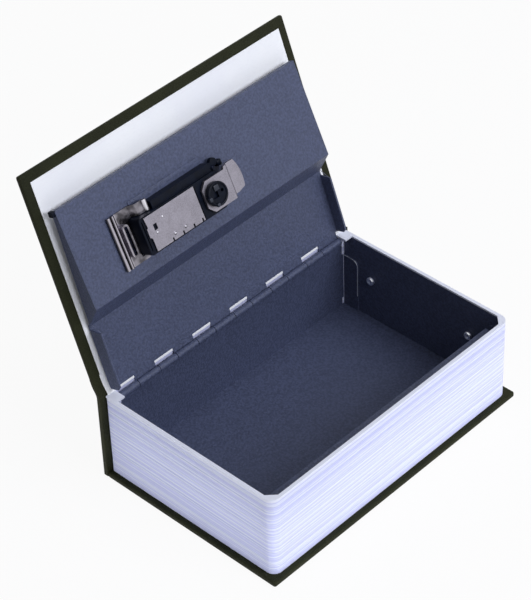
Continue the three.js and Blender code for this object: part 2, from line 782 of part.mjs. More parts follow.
const leverMid = housingFar + RAIL_WIDTH / 2;
const leverBegin = RAIL_END - LEVER_INSET;
const leverTop = -RAIL_IN / 2 + LEVER_THICKNESS / 2;

function codeLever() {
  const solid = block(
    leverMid - LEVER_WIDTH / 2, leverMid + LEVER_WIDTH / 2, leverBegin, leverBegin + LEVER_LENGTH,
    leverTop - LEVER_THICKNESS, leverTop,
  );
  const buttonY = leverBegin + LEVER_LENGTH - LEVER_KNOB_BACK;
  const button = circle(leverMid + LEVER_KNOB_UP, buttonY, LEVER_KNOB_RADIUS);
  const knob = alongZ(button, leverTop - LEVER_THICKNESS, leverTop);
  return toMesh("code_lever", solid.add(knob), blackPlastic);
}

function facePlate() {
  const z0 = STEEL + GLUE_GAP;
  const plate = alongZ(housingPlan(FACE_MARGIN), z0, z0 + FACE_THICKNESS);
  return toMesh("lock_face_plate", plate.subtract(alongZ(housingPlan(GLUE_GAP), -PAST, PAST)), nickel);
}

function wheelAxle() {
  const seat = AXLE_SEAT - PIN_CLEARANCE;
  const rod = axleRod(AXLE_RADIUS - AXLE_CLEARANCE, wheelsBegin - seat, wheelsEnd + seat);
  return toMesh("wheel_axle", rod, bareSteel);
}

function numberWheel(i) {
  const y0 = wheelY(i) - WHEEL_WIDTH / 2;
  const y1 = y0 + WHEEL_WIDTH;
  const wheel = cylinderAlongY(housingMid, -AXLE_DEPTH, WHEEL_RADIUS, y0, y1, 3 * DIGITS);
  const cuts = [axleRod(AXLE_RADIUS + AXLE_CLEARANCE, y0 - LAP, y1 + LAP)];
  for (let n = 0; n < DIGITS; n += 1) {
    const angle = (n + 0.5) * 2 * Math.PI / DIGITS;
    const reach = WHEEL_RADIUS + WHEEL_GRIP_RADIUS / 2;
    const x = housingMid + reach * Math.cos(angle);
    const z = -AXLE_DEPTH + reach * Math.sin(angle);
    cuts.push(cylinderAlongY(x, z, WHEEL_GRIP_RADIUS, y0 - LAP, y1 + LAP, 8));
  }
  return toMesh(`number_wheel_${i + 1}`, cutAll(wheel, cuts), blackPlastic);
}

function codeDisc(i) {
  const y0 = wheelY(i) + WHEEL_WIDTH / 2 + PIN_CLEARANCE;
  const y1 = y0 + DISC_WIDTH;
  const disc = axleRod(DISC_RADIUS, y0, y1);
  const hole = axleRod(AXLE_RADIUS + AXLE_CLEARANCE, y0 - LAP, y1 + LAP);
  const edge = housingMid - DISC_RADIUS;
  const notch = block(
    edge - LAP, edge + DISC_NOTCH, y0 - LAP, y1 + LAP,
    -AXLE_DEPTH - DISC_NOTCH / 2, -AXLE_DEPTH + DISC_NOTCH / 2,
  );
  return toMesh(`code_disc_${i + 1}`, cutAll(disc, [hole, notch]), bareSteel);
}

// A comb of spring fingers that click into the wheels' grooves
function detentSpring() {
  const face = housingMid + pocketHalf - GLUE_GAP;
  const x = face - SPRING_GAUGE;
  const foot = -HOUSING_IN + SPRING_GAUGE;
  const bar = block(x, face, wheelsBegin + FIT, wheelsEnd - FIT, foot, foot + SPRING_BAR);
  const groove = housingMid + WHEEL_RADIUS;
  const shape = sheetOutline([
    [face, foot + SPRING_BAR / 2],
    [face, -AXLE_DEPTH - WHEEL_GRIP_RADIUS - SPRING_BAR],
    [groove + SPRING_GAUGE + GLUE_GAP, -AXLE_DEPTH - SPRING_GAUGE],
    [face - 2 * SPRING_GAUGE, -AXLE_DEPTH + 2 * SPRING_GAUGE],
  ], SPRING_GAUGE);
  const fingers = [];
  for (let i = 0; i < WHEEL_COUNT; i += 1) {
    fingers.push(alongY(shape, wheelY(i) - SPRING_FINGER_HALF, wheelY(i) + SPRING_FINGER_HALF));
  }
  return toMesh("detent_spring", union([bar, ...fingers]), bareSteel);
}

// The plate over the code wheels, with a ragged edge, a window, notches and stamped dimples
function innerPlate() {
  const top = -HOUSING_IN - GLUE_GAP;
  const under = top - PLATE_THICKNESS;
  const x1 = PLATE_START + PLATE_WIDTH;
  const y1 = PLATE_BEGIN + PLATE_LENGTH;
  const plan = outline([
    ...PLATE_EDGE_STEPS.map(([up, along]) => [PLATE_START + up, PLATE_BEGIN + along]),
    [x1, PLATE_BEGIN],
    [x1, y1],
    [PLATE_START, y1],
  ]);
  const windowX = PLATE_START + PLATE_WINDOW_AT[0];
  const windowY = PLATE_BEGIN + PLATE_WINDOW_AT[1];
  const cuts = [block(windowX, windowX + PLATE_WINDOW[0], windowY, windowY + PLATE_WINDOW[1], -PAST, 0)];
  const dimples = [];
  for (const [i, along] of PLATE_NOTCHES.entries()) {
    const y = PLATE_BEGIN + along;
    cuts.push(block(PLATE_START - PAST, PLATE_START + NOTCH_DEPTH, y - NOTCH_WIDTH, y, -PAST, 0));
    if (i < DIMPLES) {
      const dimple = turned([
        [0, under - DIMPLE_HEIGHT],
        [DIMPLE_RADIUS * 0.6, under - DIMPLE_HEIGHT * 0.7],
        [DIMPLE_RADIUS, under + PLATE_THICKNESS / 2],
        [0, under + PLATE_THICKNESS / 2],
      ], 10);
      dimples.push(dimple.translate([PLATE_START + DIMPLE_AT[0], y + DIMPLE_AT[1], 0]));
    }
  }
  const plate = cutAll(alongZ(plan, under, top), cuts);
  return toMesh("lock_inner_plate", union([plate, ...dimples]), nickel);
}

// The spring clip that holds the housing in the panel: beaded foot, raised loop, arm along the rail
const clipFace = -GLUE_GAP;
const clipUnder = clipFace - BRACKET_THICKNESS;
const clipInner = HOUSING_BEGIN - FIT;

function clipStrap(x0, x1) {
  const firstBead = BRACKET_BEGIN + BRACKET_BEAD;
  const bead = (y) => arc(y, clipUnder, BRACKET_BEAD, Math.PI, 2 * Math.PI, 6);
  const section = [...bead(firstBead), ...bead(firstBead + BRACKET_BEAD_PITCH), [clipInner, clipUnder]];
  return alongX(sheetOutline(section, BRACKET_THICKNESS), x0, x1);
}

function clipArm(x1) {
  const risen = clipFace - BRACKET_ARM_RISE;
  const section = [
    [clipInner - LAP, clipUnder],
    [HOUSING_BEGIN + BRACKET_ARM_START / 2, clipUnder],
    [HOUSING_BEGIN + BRACKET_ARM_START, risen],
    [BRACKET_ARM_END - BRACKET_CURL[0], risen],
    [BRACKET_ARM_END, risen - BRACKET_CURL[1]],
  ];
  return alongX(sheetOutline(section, BRACKET_THICKNESS), housingFar + FIT, x1);
}

function clipLoopPlan(margin) {
  const x = housingMid - LOOP_LENGTH / 2 + LOOP_UP;
  const y = BRACKET_BEGIN + LOOP_IN;
  const half = LOOP_WIDTH / 2;
  return roundedRectangle(
    x + margin, y - half + margin, x + LOOP_LENGTH - margin, y + half - margin, half - margin - SKIN,
  );
}

function lockBracket() {
  const x1 = BRACKET_START + BRACKET_SPAN;
  const lower = block(
    BRACKET_START, HOUSING_START - FIT, clipInner - LAP, HOUSING_BEGIN + BRACKET_ARM_START,
    clipUnder, clipFace,
  );
  const raised = alongZ(clipLoopPlan(0), clipFace - LOOP_HEIGHT, clipUnder + BRACKET_THICKNESS / 2, 5);
  const through = alongZ(clipLoopPlan(LOOP_WIDTH / 4), -PAST, PAST, 5);
  const solid = union([clipStrap(BRACKET_START, x1), clipArm(x1), lower, raised]);
  return toMesh("lock_bracket", solid.subtract(through), nickel);
}

// Knob, cam and cap turn together on one axis through the housing
function onSpindle(solid) {
  return solid.translate([housingMid, 0, 0]);
}

const camTop = -HOUSING_IN - FIT;
const camUnder = camTop - CAM_THICKNESS;

function turnKnob() {
  const seat = housingFace + FIT;
  const neckEnd = camUnder - PIN_CLEARANCE;
  const stem = turned([
    [0, neckEnd],
    [SPINDLE_NECK, neckEnd],
    [SPINDLE_NECK, camTop + PIN_CLEARANCE],
    [SPINDLE_RADIUS, camTop + PIN_CLEARANCE],
    [SPINDLE_RADIUS, seat],
    [KNOB_RADIUS, seat],
    [KNOB_RADIUS, seat + KNOB_PLATE - KNOB_CHAMFER],
    [KNOB_RADIUS - KNOB_CHAMFER, seat + KNOB_PLATE],
    [0, seat + KNOB_PLATE],
  ], 32);
  const reach = KNOB_RADIUS - KNOB_CHAMFER;
  const half = KNOB_GRIP / 2;
  const grip = alongZ(
    roundedRectangle(-half, -reach, half, reach, half - SKIN), seat + KNOB_PLATE / 2, seat + KNOB_HEIGHT, 5,
  );
  return toMesh("turn_knob", onSpindle(stem.add(grip)), blackPlastic);
}

// The cam's tongue is set off to the upper side of its plate and stepped down to the panel
function lockCam() {
  const half = CAM_WIDTH / 2;
  const section = [
    [-CAM_BACK - LAP, camUnder],
    [CAM_JOGGLE_AT, camUnder],
    [CAM_JOGGLE_AT + CAM_JOGGLE, camUnder + CAM_JOGGLE],
    [CAM_REACH + LAP, camUnder + CAM_JOGGLE],
  ];
  const strip = alongX(sheetOutline(section, CAM_THICKNESS), -CAM_REACH / 2, CAM_REACH / 2);
  const tip = arc(0, 0, CAM_REACH, rad(CAM_TIP[0]), rad(CAM_TIP[1]), 10);
  const shoulder = CAM_JOGGLE_AT + CAM_JOGGLE / 2;
  const plan = outline([
    [-half, -CAM_BACK + CAM_CHAMFER],
    [-half + CAM_CHAMFER, -CAM_BACK],
    [half - CAM_CHAMFER, -CAM_BACK],
    [half, -CAM_BACK + CAM_CHAMFER],
    [half, CAM_EAR_AT],
    [tip[0][0], CAM_EAR_AT + CAM_EAR_SLANT],
    ...tip,
    [-CAM_TONGUE_SIDE, CAM_TONGUE_FOOT],
    [-CAM_TONGUE_SIDE, shoulder + CAM_SHOULDER],
    [-half, shoulder],
  ]);
  const hole = alongZ(circle(0, 0, SPINDLE_NECK + PIN_CLEARANCE), -PAST, PAST, 12);
  return toMesh("lock_cam", onSpindle(strip.intersect(alongZ(plan, -PAST, PAST)).subtract(hole)), nickel);
}

function camCap() {
  const top = camUnder - 2 * PIN_CLEARANCE;
  const low = top - CAP_HEIGHT;
  const sunk = low + CAP_SINK;
  const disc = alongZ(circle(0, 0, CAP_RADIUS), low, top, 12);
  const slot = block(...CAP_SLOT, low - LAP, sunk);
  const pinHole = alongZ(circle(...CAP_PIN_AT, CAP_PIN_RADIUS), low - LAP, sunk);
  const half = CAP_SPLIT_WIDTH / 2;
  const splits = CAP_SPLITS.map((degrees) => {
    const turn = new THREE.Matrix4().makeRotationZ(rad(degrees));
    const split = block(CAP_RADIUS - CAP_SPLIT_DEPTH, CAP_RADIUS + PAST, -half, half, low - LAP, sunk);
    return split.transform(turn.elements);
  });
  return toMesh("cam_cap", onSpindle(cutAll(disc, [slot, pinHole, ...splits])), blackPlastic);
}

// Cover: the cloth joint folds at the spine's edge and the board folds at the joint's far edge
function jointCloth() {
  const z = COVER_AXIS_DROP;
  const solid = block(FIT, JOINT_WIDTH - FIT / 2, -halfLength, halfLength, z - JOINT_CLOTH, z);
  return toMesh("joint_cloth", solid, bookCloth);
}

function jointEndpaper() {
  const z = COVER_AXIS_DROP - JOINT_CLOTH;
  const side = blockSide - ENDPAPER;
  const solid = block(2 * FIT, JOINT_WIDTH - FIT / 2, -side, side, z - ENDPAPER, z - PASTE);
  return toMesh("joint_endpaper", solid, paper);
}

const frontLength = foreOuter - (coverAxisX + JOINT_WIDTH) - FRONT_SET_BACK;

function frontBoard() {
  const shape = roundedRectangle(FIT / 2, -halfLength, frontLength, halfLength, CORNER_RADIUS);
  return toMesh("front_board", alongZ(shape, -BOARD + ENDPAPER, 0), bookCloth);
}

function frontEndpaper() {
  const side = halfLength - TURN_IN;
  const solid = block(FIT, frontLength - TURN_IN, -side, side, -BOARD, -BOARD + ENDPAPER - PASTE);
  return toMesh("front_endpaper", solid, paper);
}

// The object, open as it stands in use
const safe = new THREE.Group();
safe.add(backBoard(), spineBoard(), spineEndpaper(), pageBlock(), steelBox(), hingePin());

const lid = new THREE.Group();
lid.position.set(pinX, 0, pinZ);
lid.rotation.y = -rad(LID_OPEN);
safe.add(lid);
lid.add(lidPanel());

const lock = new THREE.Group();
lock.position.set(stepFoot[0], 0, stepFoot[1]);
lock.rotation.y = -panelSlope;
lid.add(lock);
lock.add(lockHousing(), facePlate(), innerPlate(), lockBracket(), wheelAxle(), detentSpring());
lock.add(codeLever(), turnKnob(), lockCam(), camCap());
for (let i = 0; i < WHEEL_COUNT; i += 1) {
  lock.add(numberWheel(i), codeDisc(i));
}

const joint = new THREE.Group();
joint.position.set(coverAxisX, 0, coverAxisZ);
joint.rotation.y = -rad(COVER_OPEN);
safe.add(joint);
joint.add(jointCloth(), jointEndpaper());

const cover = new THREE.Group();
cover.position.set(JOINT_WIDTH, 0, COVER_AXIS_DROP);
joint.add(cover);
cover.add(frontBoard(), frontEndpaper());

export default safe;
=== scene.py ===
from math import atan2, cos, radians, sin

import bmesh
import bpy
from bpy.props import FloatProperty, FloatVectorProperty, PointerProperty
from mathutils import Matrix, Vector


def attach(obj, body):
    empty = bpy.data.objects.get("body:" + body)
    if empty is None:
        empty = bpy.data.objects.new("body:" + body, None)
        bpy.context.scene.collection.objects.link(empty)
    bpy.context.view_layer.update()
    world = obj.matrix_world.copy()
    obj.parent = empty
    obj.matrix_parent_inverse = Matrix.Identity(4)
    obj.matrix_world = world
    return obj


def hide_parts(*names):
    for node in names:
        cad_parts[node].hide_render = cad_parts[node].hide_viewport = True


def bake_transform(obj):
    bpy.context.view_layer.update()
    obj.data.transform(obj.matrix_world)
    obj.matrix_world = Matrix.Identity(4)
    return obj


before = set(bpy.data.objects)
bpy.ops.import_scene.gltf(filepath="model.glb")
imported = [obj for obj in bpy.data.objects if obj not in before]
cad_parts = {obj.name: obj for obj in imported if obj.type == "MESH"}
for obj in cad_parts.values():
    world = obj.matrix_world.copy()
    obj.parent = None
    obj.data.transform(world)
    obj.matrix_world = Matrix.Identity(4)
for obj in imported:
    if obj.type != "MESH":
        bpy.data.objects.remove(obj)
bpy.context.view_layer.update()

bl_info = {
    "name": "Book Diversion Safe",
    "version": (1, 0, 0),
    "blender": (4, 5, 0),
    "location": "3D View > Sidebar > Book Safe",
    "description": "Dresses a packed book diversion safe in cloth, paint, plastic and nickel",
    "category": "Object",
}

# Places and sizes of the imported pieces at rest, in millimetres and degrees
PIN = Vector((-52.7, 0, 49.2))
LID_OPEN = 110
COVER_AXIS = Vector((-59.7, 0, 54.6))
COVER_OPEN = 110.3
JOINT_WIDTH = 8.5
COVER_DROP = 0.7
STEP_FOOT = Vector((51.2, 0, -9.5))
PANEL_SLOPE = atan2(5.3, 52.6)
SPINDLE_UP = 20.1
HALF_LENGTH = 90
SPINE_OUTER = -58.5
BLOCK_BACK = -55.5
RIM_TOP = 52
COVER_LENGTH = 109.1
COVER_THICKNESS = 2.7
COVER_START = -2.3
TURN_IN = 5.2
PAPER = 0.3

# The bent band of cloth and paper over the joint
SPINE_BEND = 51
SPINE_SOFTNESS = 0.6
JOINT_MIDDLE = 3.2
JOINT_DRAWN_IN = 1.2
JOINT_CLOTH = (0.67, -1.97)
JOINT_PAPER = -2.0
JOINT_PAPER_SIDE = 85.2
PASTE = 0.05
SLOT_LININGS = ((74.6, 38, 47.5), (80.2, 47.5, RIM_TOP))
FOLD_CUTS = 8
FOLD_STEP = 0.6

# Studs, tongues and the cut edges of the box's tabs
STUDS_ON_SIDE = (-35, 31.3)
STUDS_ON_FRONT = (-52, 52)
STUD_UP = 29
STUD_HEAD_SIDE = 84.05
STUD_HEAD_FRONT = 52.55
STUD_HEAD = (
    (0, 0.12), (0.8, 0.14), (1.15, 0.42), (1.6, 0.5), (2.1, 0.38), (2.4, 0), (2.4, -0.4), (0, -0.4))
CORNER_TONGUES = ((83.1, 85.0, 37.7, 50.6), (83.2, 84.9, 4.1, 8.1))
TONGUE_DEPTH = (-54.55, -53.72)
CORNER_SEAM = (84.1, 84.4, 8, 37.8)
SEAM_DEPTH = (-53.82, -53.6)
TAB_BACK = -53.7
TAB_TOP = 37.5
TAB_END = -43.8
TAB_BEND = ((-47.8, TAB_TOP), (-45.5, TAB_TOP), (TAB_END, 35.8), (TAB_END, 33.5))
TAB_FOOT = 14
TAB_EDGE = (84.1, 84.35)
TAB_EDGE_THICKNESS = 0.28

# Details of the lid and the lock, in the panel's or the lid's own frame
PRESSED_STRAP = (33.6, 37.7, -43, 4.5, -0.45, 0.3)
FLANGE_SIDE = (81.5, 81.35)
FLANGE_LINE = ((5.3, -4.1), (7.3, -6.1), (37.3, -6.1), (41.9, 0.4))
FLANGE_LINE_THICKNESS = 0.2
EDGE_NUB = (101.2, 104.2, -84.1, -81.6, -3.9, -0.6)
LEVER_REST = (28.4, 31.6, 12.5, 15.6, -3.4, 0.2)
WHEEL_RADIUS = 6.4
WHEEL_MIDDLE = -20.8
WHEEL_PITCH = 7.1
AXLE_DEPTH = 1.4
FIGURE_STEP = 36
FIGURE_HEIGHT = 3.4
FIGURE_RELIEF = 0.06
FIGURE_CUTS = (-0.9, -0.45, 0, 0.45, 0.9)
CLIP_RIBS_END = -52.5
CLIP_CURL = (30.2, -36.9, -4.4)
CLIP_CURL_PROFILE = ((0, 0), (1.05, 0), (1.3, 0.25), (1.3, 5.6), (1.05, 5.85), (0, 5.85))
PLATE_FACE = -9.25
PLATE_DOMES = ((14.2, -29.7), (14.2, -22.7), (25.1, -33.3), (19.6, -39.1))
DOME_PROFILE = ((0, -0.46), (0.3, -0.4), (0.52, -0.22), (0.64, 0), (0.64, 0.3), (0, 0.3))
CAP_LIP = (
    (5.1, -12.35), (5.2, -12.8), (5.7, -12.95), (6.2, -12.7), (6.35, -12.2), (5.6, -12.1), (5.1, -12.35))
CAP_POST = (1.9, 4.8, -1.6, 1.5, -13.1, -12.2)
CAP_HOOKS = ((-1.7, 0.3, -6.5, -4.7, -13.3, -12.1), (-5.9, -4.2, -3.2, -1.4, -13.3, -12.1))

# Fixed colours, and how far the grain of each steel is drawn out
PAGE_RIDGE = (0.87, 0.90, 1.0, 1)
PAGE_TOP_PAINTED_LIGHT = (0.87, 0.89, 1.0, 1)
PLAIN_STEEL = (0.42, 0.42, 0.44)
CUT_STEEL_AND_PAINTED_HIGHLIGHT = (0.8, 0.83, 0.9)
PAINTED_GLINT_NICKEL = (0.5, 0.49, 0.53)
RIVET_NICKEL = (0.85, 0.88, 0.97)
PAINTED_EDGE_HIGHLIGHT = (0.16, 0.18, 0.27)
FIGURE_WHITE = (0.8, 0.8, 0.84)
SHADED_PAPER = (0.60, 0.62, 0.84)
PAINTED_SHEEN_PLASTIC = (0.016, 0.021, 0.036)
FLOOR_GREY = (0.8, 0.8, 0.82, 1)
LAMP_WHITE = (0.885, 0.915, 1.0)
DRAWN_GRAIN = (1000, 60, 1000)
EVEN_GRAIN = (1000, 1000, 1000)

# The camera fitted to the photograph
CAMERA_PLACE = (0.6239, -0.6595, 0.8519)
CAMERA_RIGHT = (0.72803, 0.68485, -0.03073)
CAMERA_UP = (-0.42356, 0.48461, 0.76535)
CAMERA_LENS = 147.3
CAMERA_SENSOR = 36

TO_METRES = Matrix.Scale(0.001, 4)
LID_PLACE = Matrix.Translation(PIN) @ Matrix.Rotation(-radians(LID_OPEN), 4, "Y")
PANEL_PLACE = LID_PLACE @ Matrix.Translation(STEP_FOOT) @ Matrix.Rotation(-PANEL_SLOPE, 4, "Y")
SPINDLE_PLACE = PANEL_PLACE @ Matrix.Translation((SPINDLE_UP, 0, 0))
JOINT_PLACE = Matrix.Translation(COVER_AXIS) @ Matrix.Rotation(-radians(COVER_OPEN), 4, "Y")
COVER_PLACE = JOINT_PLACE @ Matrix.Translation((JOINT_WIDTH, 0, COVER_DROP))


class SafeFinishes(bpy.types.PropertyGroup):
    """Colours of the safe's finishes"""

    cloth: FloatVectorProperty(
        name="Book cloth", description="Olive leatherette on the covers", subtype="COLOR", size=3,
        default=(0.015, 0.0165, 0.006), min=0, max=1)
    paper: FloatVectorProperty(
        name="Endpaper", description="White paper inside the cover", subtype="COLOR", size=3,
        default=(0.96, 0.965, 1.0), min=0, max=1)
    pages: FloatVectorProperty(
        name="Page plastic", description="Moulded white page block", subtype="COLOR", size=3,
        default=(0.66, 0.68, 0.955), min=0, max=1)
    paint: FloatVectorProperty(
        name="Powder coat", description="Blue-grey paint on the steel", subtype="COLOR", size=3,
        default=(0.066, 0.079, 0.141), min=0, max=1)
    nickel: FloatVectorProperty(
        name="Nickel", description="Plating on the lock's steel", subtype="COLOR", size=3,
        default=(0.215, 0.204, 0.235), min=0, max=1)
    # The clip's material draws its colour darker and lighter as painted reflections
    clip: FloatVectorProperty(
        name="Clip steel", description="Darker plating on the lock's spring clip", subtype="COLOR", size=3,
        default=(0.20, 0.19, 0.215), min=0, max=1)
    plastic: FloatVectorProperty(
        name="Lock plastic", description="Black moulded lock parts", subtype="COLOR", size=3,
        default=(0.002, 0.0038, 0.010), min=0, max=1)


class SafeSizes(bpy.types.PropertyGroup):
    """Sizes of the details that the dressed pieces add"""

    board_round: FloatProperty(
        name="Board edge", description="Radius of the cloth over a board's edge", default=0.0009,
        min=0.0001, max=0.0015, unit="LENGTH")
    steel_round: FloatProperty(
        name="Steel edge", description="Radius of the painted steel's edges", default=0.0002,
        min=0.00005, max=0.0004, unit="LENGTH")
    block_round: FloatProperty(
        name="Page block edge", description="Radius of the page block's edges", default=0.00035,
        min=0.00005, max=0.0005, unit="LENGTH")
    lock_round: FloatProperty(
        name="Lock edge", description="Radius of the lock parts' edges", default=0.00018,
        min=0.00005, max=0.0005, unit="LENGTH")


class SafeStudio(bpy.types.PropertyGroup):
    """The light round the safe"""

    key: FloatProperty(
        name="Key light", description="Lamp on the fore-edge side", default=14.6, min=0, unit="POWER")
    fill: FloatProperty(
        name="Fill light", description="Low lamp on the tail's pages", default=0.017, min=0, unit="POWER")
    front: FloatProperty(
        name="Front light", description="Low lamp on the fore-edge's pages", default=0.0135, min=0,
        unit="POWER")
    top: FloatProperty(
        name="Top light", description="Lamp above the box", default=3.6, min=0, unit="POWER")
    sky: FloatProperty(
        name="Sky", description="Level of the room's light", default=0.19, min=0, max=2, unit="NONE")


# Materials
class Value:
    """A shader socket in a Python sum: each operator adds one Math node"""

    def __init__(self, finish, socket):
        self.finish = finish
        self.socket = socket

    def __add__(self, other):
        return self.finish.maths("ADD", self, other)

    def __mul__(self, other):
        return self.finish.maths("MULTIPLY", self, other)

    def __radd__(self, other):
        return self.finish.maths("ADD", other, self)

    def __rsub__(self, other):
        return self.finish.maths("SUBTRACT", other, self)

    def step(self, low, high):
        """0 below low, 1 above high and smooth between"""
        return self.finish.node("ShaderNodeMapRange", {"interpolation_type": "SMOOTHSTEP"}, {
            "Value": self, "From Min": low, "From Max": high})


class Finish:
    """A material built from nodes on one Principled shader"""

    def __init__(self, name, **fixed):
        self.material = bpy.data.materials.new(name)
        self.material.use_nodes = True
        self.tree = self.material.node_tree
        self.shader = self.tree.nodes["Principled BSDF"]
        for socket, value in fixed.items():
            self.shader.inputs[socket.replace("_", " ")].default_value = value

    def node(self, kind, settings, inputs, output=0):
        made = self.tree.nodes.new(kind)
        for name, value in settings.items():
            setattr(made, name, value)
        for name, value in inputs.items():
            self.feed(made.inputs[name], value)
        return Value(self, made.outputs[output])

    def feed(self, socket, value):
        if isinstance(value, Value):
            self.tree.links.new(value.socket, socket)
        else:
            socket.default_value = value

    def maths(self, operation, first, second):
        return self.node("ShaderNodeMath", {"operation": operation}, {0: first, 1: second})

    def place(self, scale=EVEN_GRAIN):
        """Object coordinates, in millimetres unless the scale draws them out"""
        coordinates = self.node("ShaderNodeTexCoord", {}, {}, "Object")
        return self.node("ShaderNodeMapping", {}, {"Vector": coordinates, "Scale": scale})

    def axis(self, place, number):
        """One of a place's three coordinates"""
        return self.node("ShaderNodeSeparateXYZ", {}, {"Vector": place}, number)

    def noise(self, place, scale, detail=2.0, roughness=0.5):
        return self.node("ShaderNodeTexNoise", {}, {
            "Vector": place, "Scale": scale, "Detail": detail, "Roughness": roughness})

    def lines(self, along, scale, detail, roughness):
        """Noise that changes along one axis only"""
        return self.node("ShaderNodeTexNoise", {"noise_dimensions": "1D"}, {
            "W": along, "Scale": scale, "Detail": detail, "Roughness": roughness})

    def ridges(self, along, scale, randomness=1.0):
        """Distance to the nearest of many uneven lines along one axis"""
        return self.node("ShaderNodeTexVoronoi", {"voronoi_dimensions": "1D"}, {
            "W": along, "Scale": scale, "Randomness": randomness})

    def creases(self, place, scale):
        """Distance to the nearest border between cells"""
        return self.node("ShaderNodeTexVoronoi", {"feature": "DISTANCE_TO_EDGE"}, {
            "Vector": place, "Scale": scale})

    def mix(self, share, first, second):
        """A colour between two colours"""
        return self.node("ShaderNodeMix", {"data_type": "RGBA"}, {0: share, 6: first, 7: second}, 2)

    def colour(self, value):
        self.feed(self.shader.inputs["Base Color"], value)

    def roughness(self, value):
        self.feed(self.shader.inputs["Roughness"], value)

    def relief(self, height, depth):
        """Bump of a real depth in metres"""
        bump = self.node("ShaderNodeBump", {}, {"Height": height, "Distance": depth, "Strength": 1.0})
        self.feed(self.shader.inputs["Normal"], bump)


def tone(colour, level):
    return (*(min(1.0, part * level) for part in colour), 1)


def leatherette(colour):
    finish = Finish("olive_leatherette", Specular_IOR_Level=0.13)
    place = finish.place()
    warp = finish.noise(place, 0.9, 2)
    grain = finish.creases(place, 1.5).step(0.0, 0.32)
    pores = finish.noise(place, 3.2, 3, 0.6)
    wear = finish.noise(place, 0.035, 3)
    base = finish.mix(grain * 0.7 + warp * 0.3, tone(colour, 0.55), tone(colour, 1.35))
    finish.colour(finish.mix(wear.step(0.35, 0.75) * 0.45, base, tone(colour, 2.1)))
    finish.roughness(0.62 - grain * 0.12 + pores * 0.1)
    finish.relief(grain * 0.8 + pores * 0.3, 0.00012)
    return finish.material


def endpaper(colour, name="cover_paper"):
    finish = Finish(name, Specular_IOR_Level=0.25)
    place = finish.place()
    fibres = finish.noise(finish.place((1000, 350, 1000)), 1.4, 4, 0.65)
    cloud = finish.noise(place, 0.02, 3)
    base = finish.mix(cloud.step(0.3, 0.7), tone(colour, 0.96), tone(colour, 1.03))
    finish.colour(finish.mix(fibres.step(0.45, 0.75) * 0.35, base, tone(colour, 0.9)))
    finish.roughness(0.72 + fibres * 0.15)
    finish.relief(fibres * 0.6 + cloud * 0.8, 0.00005)
    return finish.material


def page_plastic(colour):
    """Raised page lines at uneven heights, with finer leaves between them"""
    finish = Finish("moulded_pages", Specular_IOR_Level=0.4)
    place = finish.place()
    wander = finish.noise(finish.place((12, 12, 12)), 1.0, 1)
    height = finish.axis(place, 2) + wander * 1.6
    sheets = finish.ridges(height, 0.36, 0.8)
    thin = finish.ridges(height + 31, 0.95)
    leaves = finish.lines(height, 3.1, 3, 0.7)
    skin = finish.noise(place, 1.6, 3)
    ridge = 1 - sheets.step(0.09, 0.24)
    hair = 1 - thin.step(0.06, 0.26)
    base = finish.mix(leaves.step(0.35, 0.65), tone(colour, 0.88), tone(colour, 1.0))
    lined = finish.mix(hair * 0.42, base, PAGE_RIDGE)
    # Painted light: the block's top face, above the rim line, takes a lighter colour, as if lit from above
    rim = height.step(RIM_TOP - 1, RIM_TOP - 0.4)
    ridged = finish.mix(ridge * 0.7, lined, PAGE_RIDGE)
    finish.colour(finish.mix(rim, ridged, PAGE_TOP_PAINTED_LIGHT))
    finish.roughness(0.44 + leaves * 0.14 + skin * 0.05)
    finish.relief(ridge * 0.8 + hair * 0.35 + leaves * 0.15 + skin * 0.04, 0.00012)
    return finish.material


def powder_coat(colour, name="blue_grey_paint"):
    """Orange peel and fine specks, with painted shade that darkens the sheets' ends"""
    finish = Finish(name, Specular_IOR_Level=0.3)
    place = finish.place()
    peel = finish.noise(place, 0.85, 2, 0.55)
    speck = finish.noise(place, 2.6, 3, 0.6)
    cloud = finish.noise(place, 0.045, 3)
    base = finish.mix(peel.step(0.32, 0.68), tone(colour, 0.68), tone(colour, 1.32))
    shade = finish.mix(cloud.step(0.3, 0.7), tone(colour, 0.93), tone(colour, 1.07))
    # Painted shade: the colour turns darker where the distance along the book passes 80.8 to 82 mm, on the
    # lid's side flanges and the box's side walls
    ends = finish.maths("ABSOLUTE", finish.axis(place, 1), 0).step(80.8, 82.0)
    painted = finish.mix(0.35, base, shade)
    finish.colour(finish.mix(ends * 0.12, painted, tone(colour, 0.2)))
    finish.roughness(0.40 + speck * 0.16)
    finish.relief(peel * 0.8 + speck * 0.2, 0.00042)
    return finish.material


def plated(name, colour, grain=(300, 1000, 1000), wave=0.00006, rough=0.3):
    finish = Finish(name, Metallic=1.0)
    brushed = finish.noise(finish.place(grain), 2.4, 3, 0.65)
    dents = finish.noise(finish.place(), 0.16, 2)
    pits_and_painted_sparkle = finish.noise(finish.place(), 1.7, 2)
    base = finish.mix(dents.step(0.3, 0.7), tone(colour, 0.9), tone(colour, 1.1))
    # Pits add roughness and relief, and lighter specks of colour as painted sparkle
    base = finish.mix(pits_and_painted_sparkle.step(0.35, 0.65) * 0.5, base, tone(colour, 1.45))
    finish.colour(finish.mix(brushed.step(0.5, 0.8) * 0.25, base, tone(colour, 0.7)))
    finish.roughness(rough + brushed * 0.14 + pits_and_painted_sparkle * 0.06)
    finish.relief(dents + brushed * 0.05 + pits_and_painted_sparkle * 0.12, wave)
    return finish.material


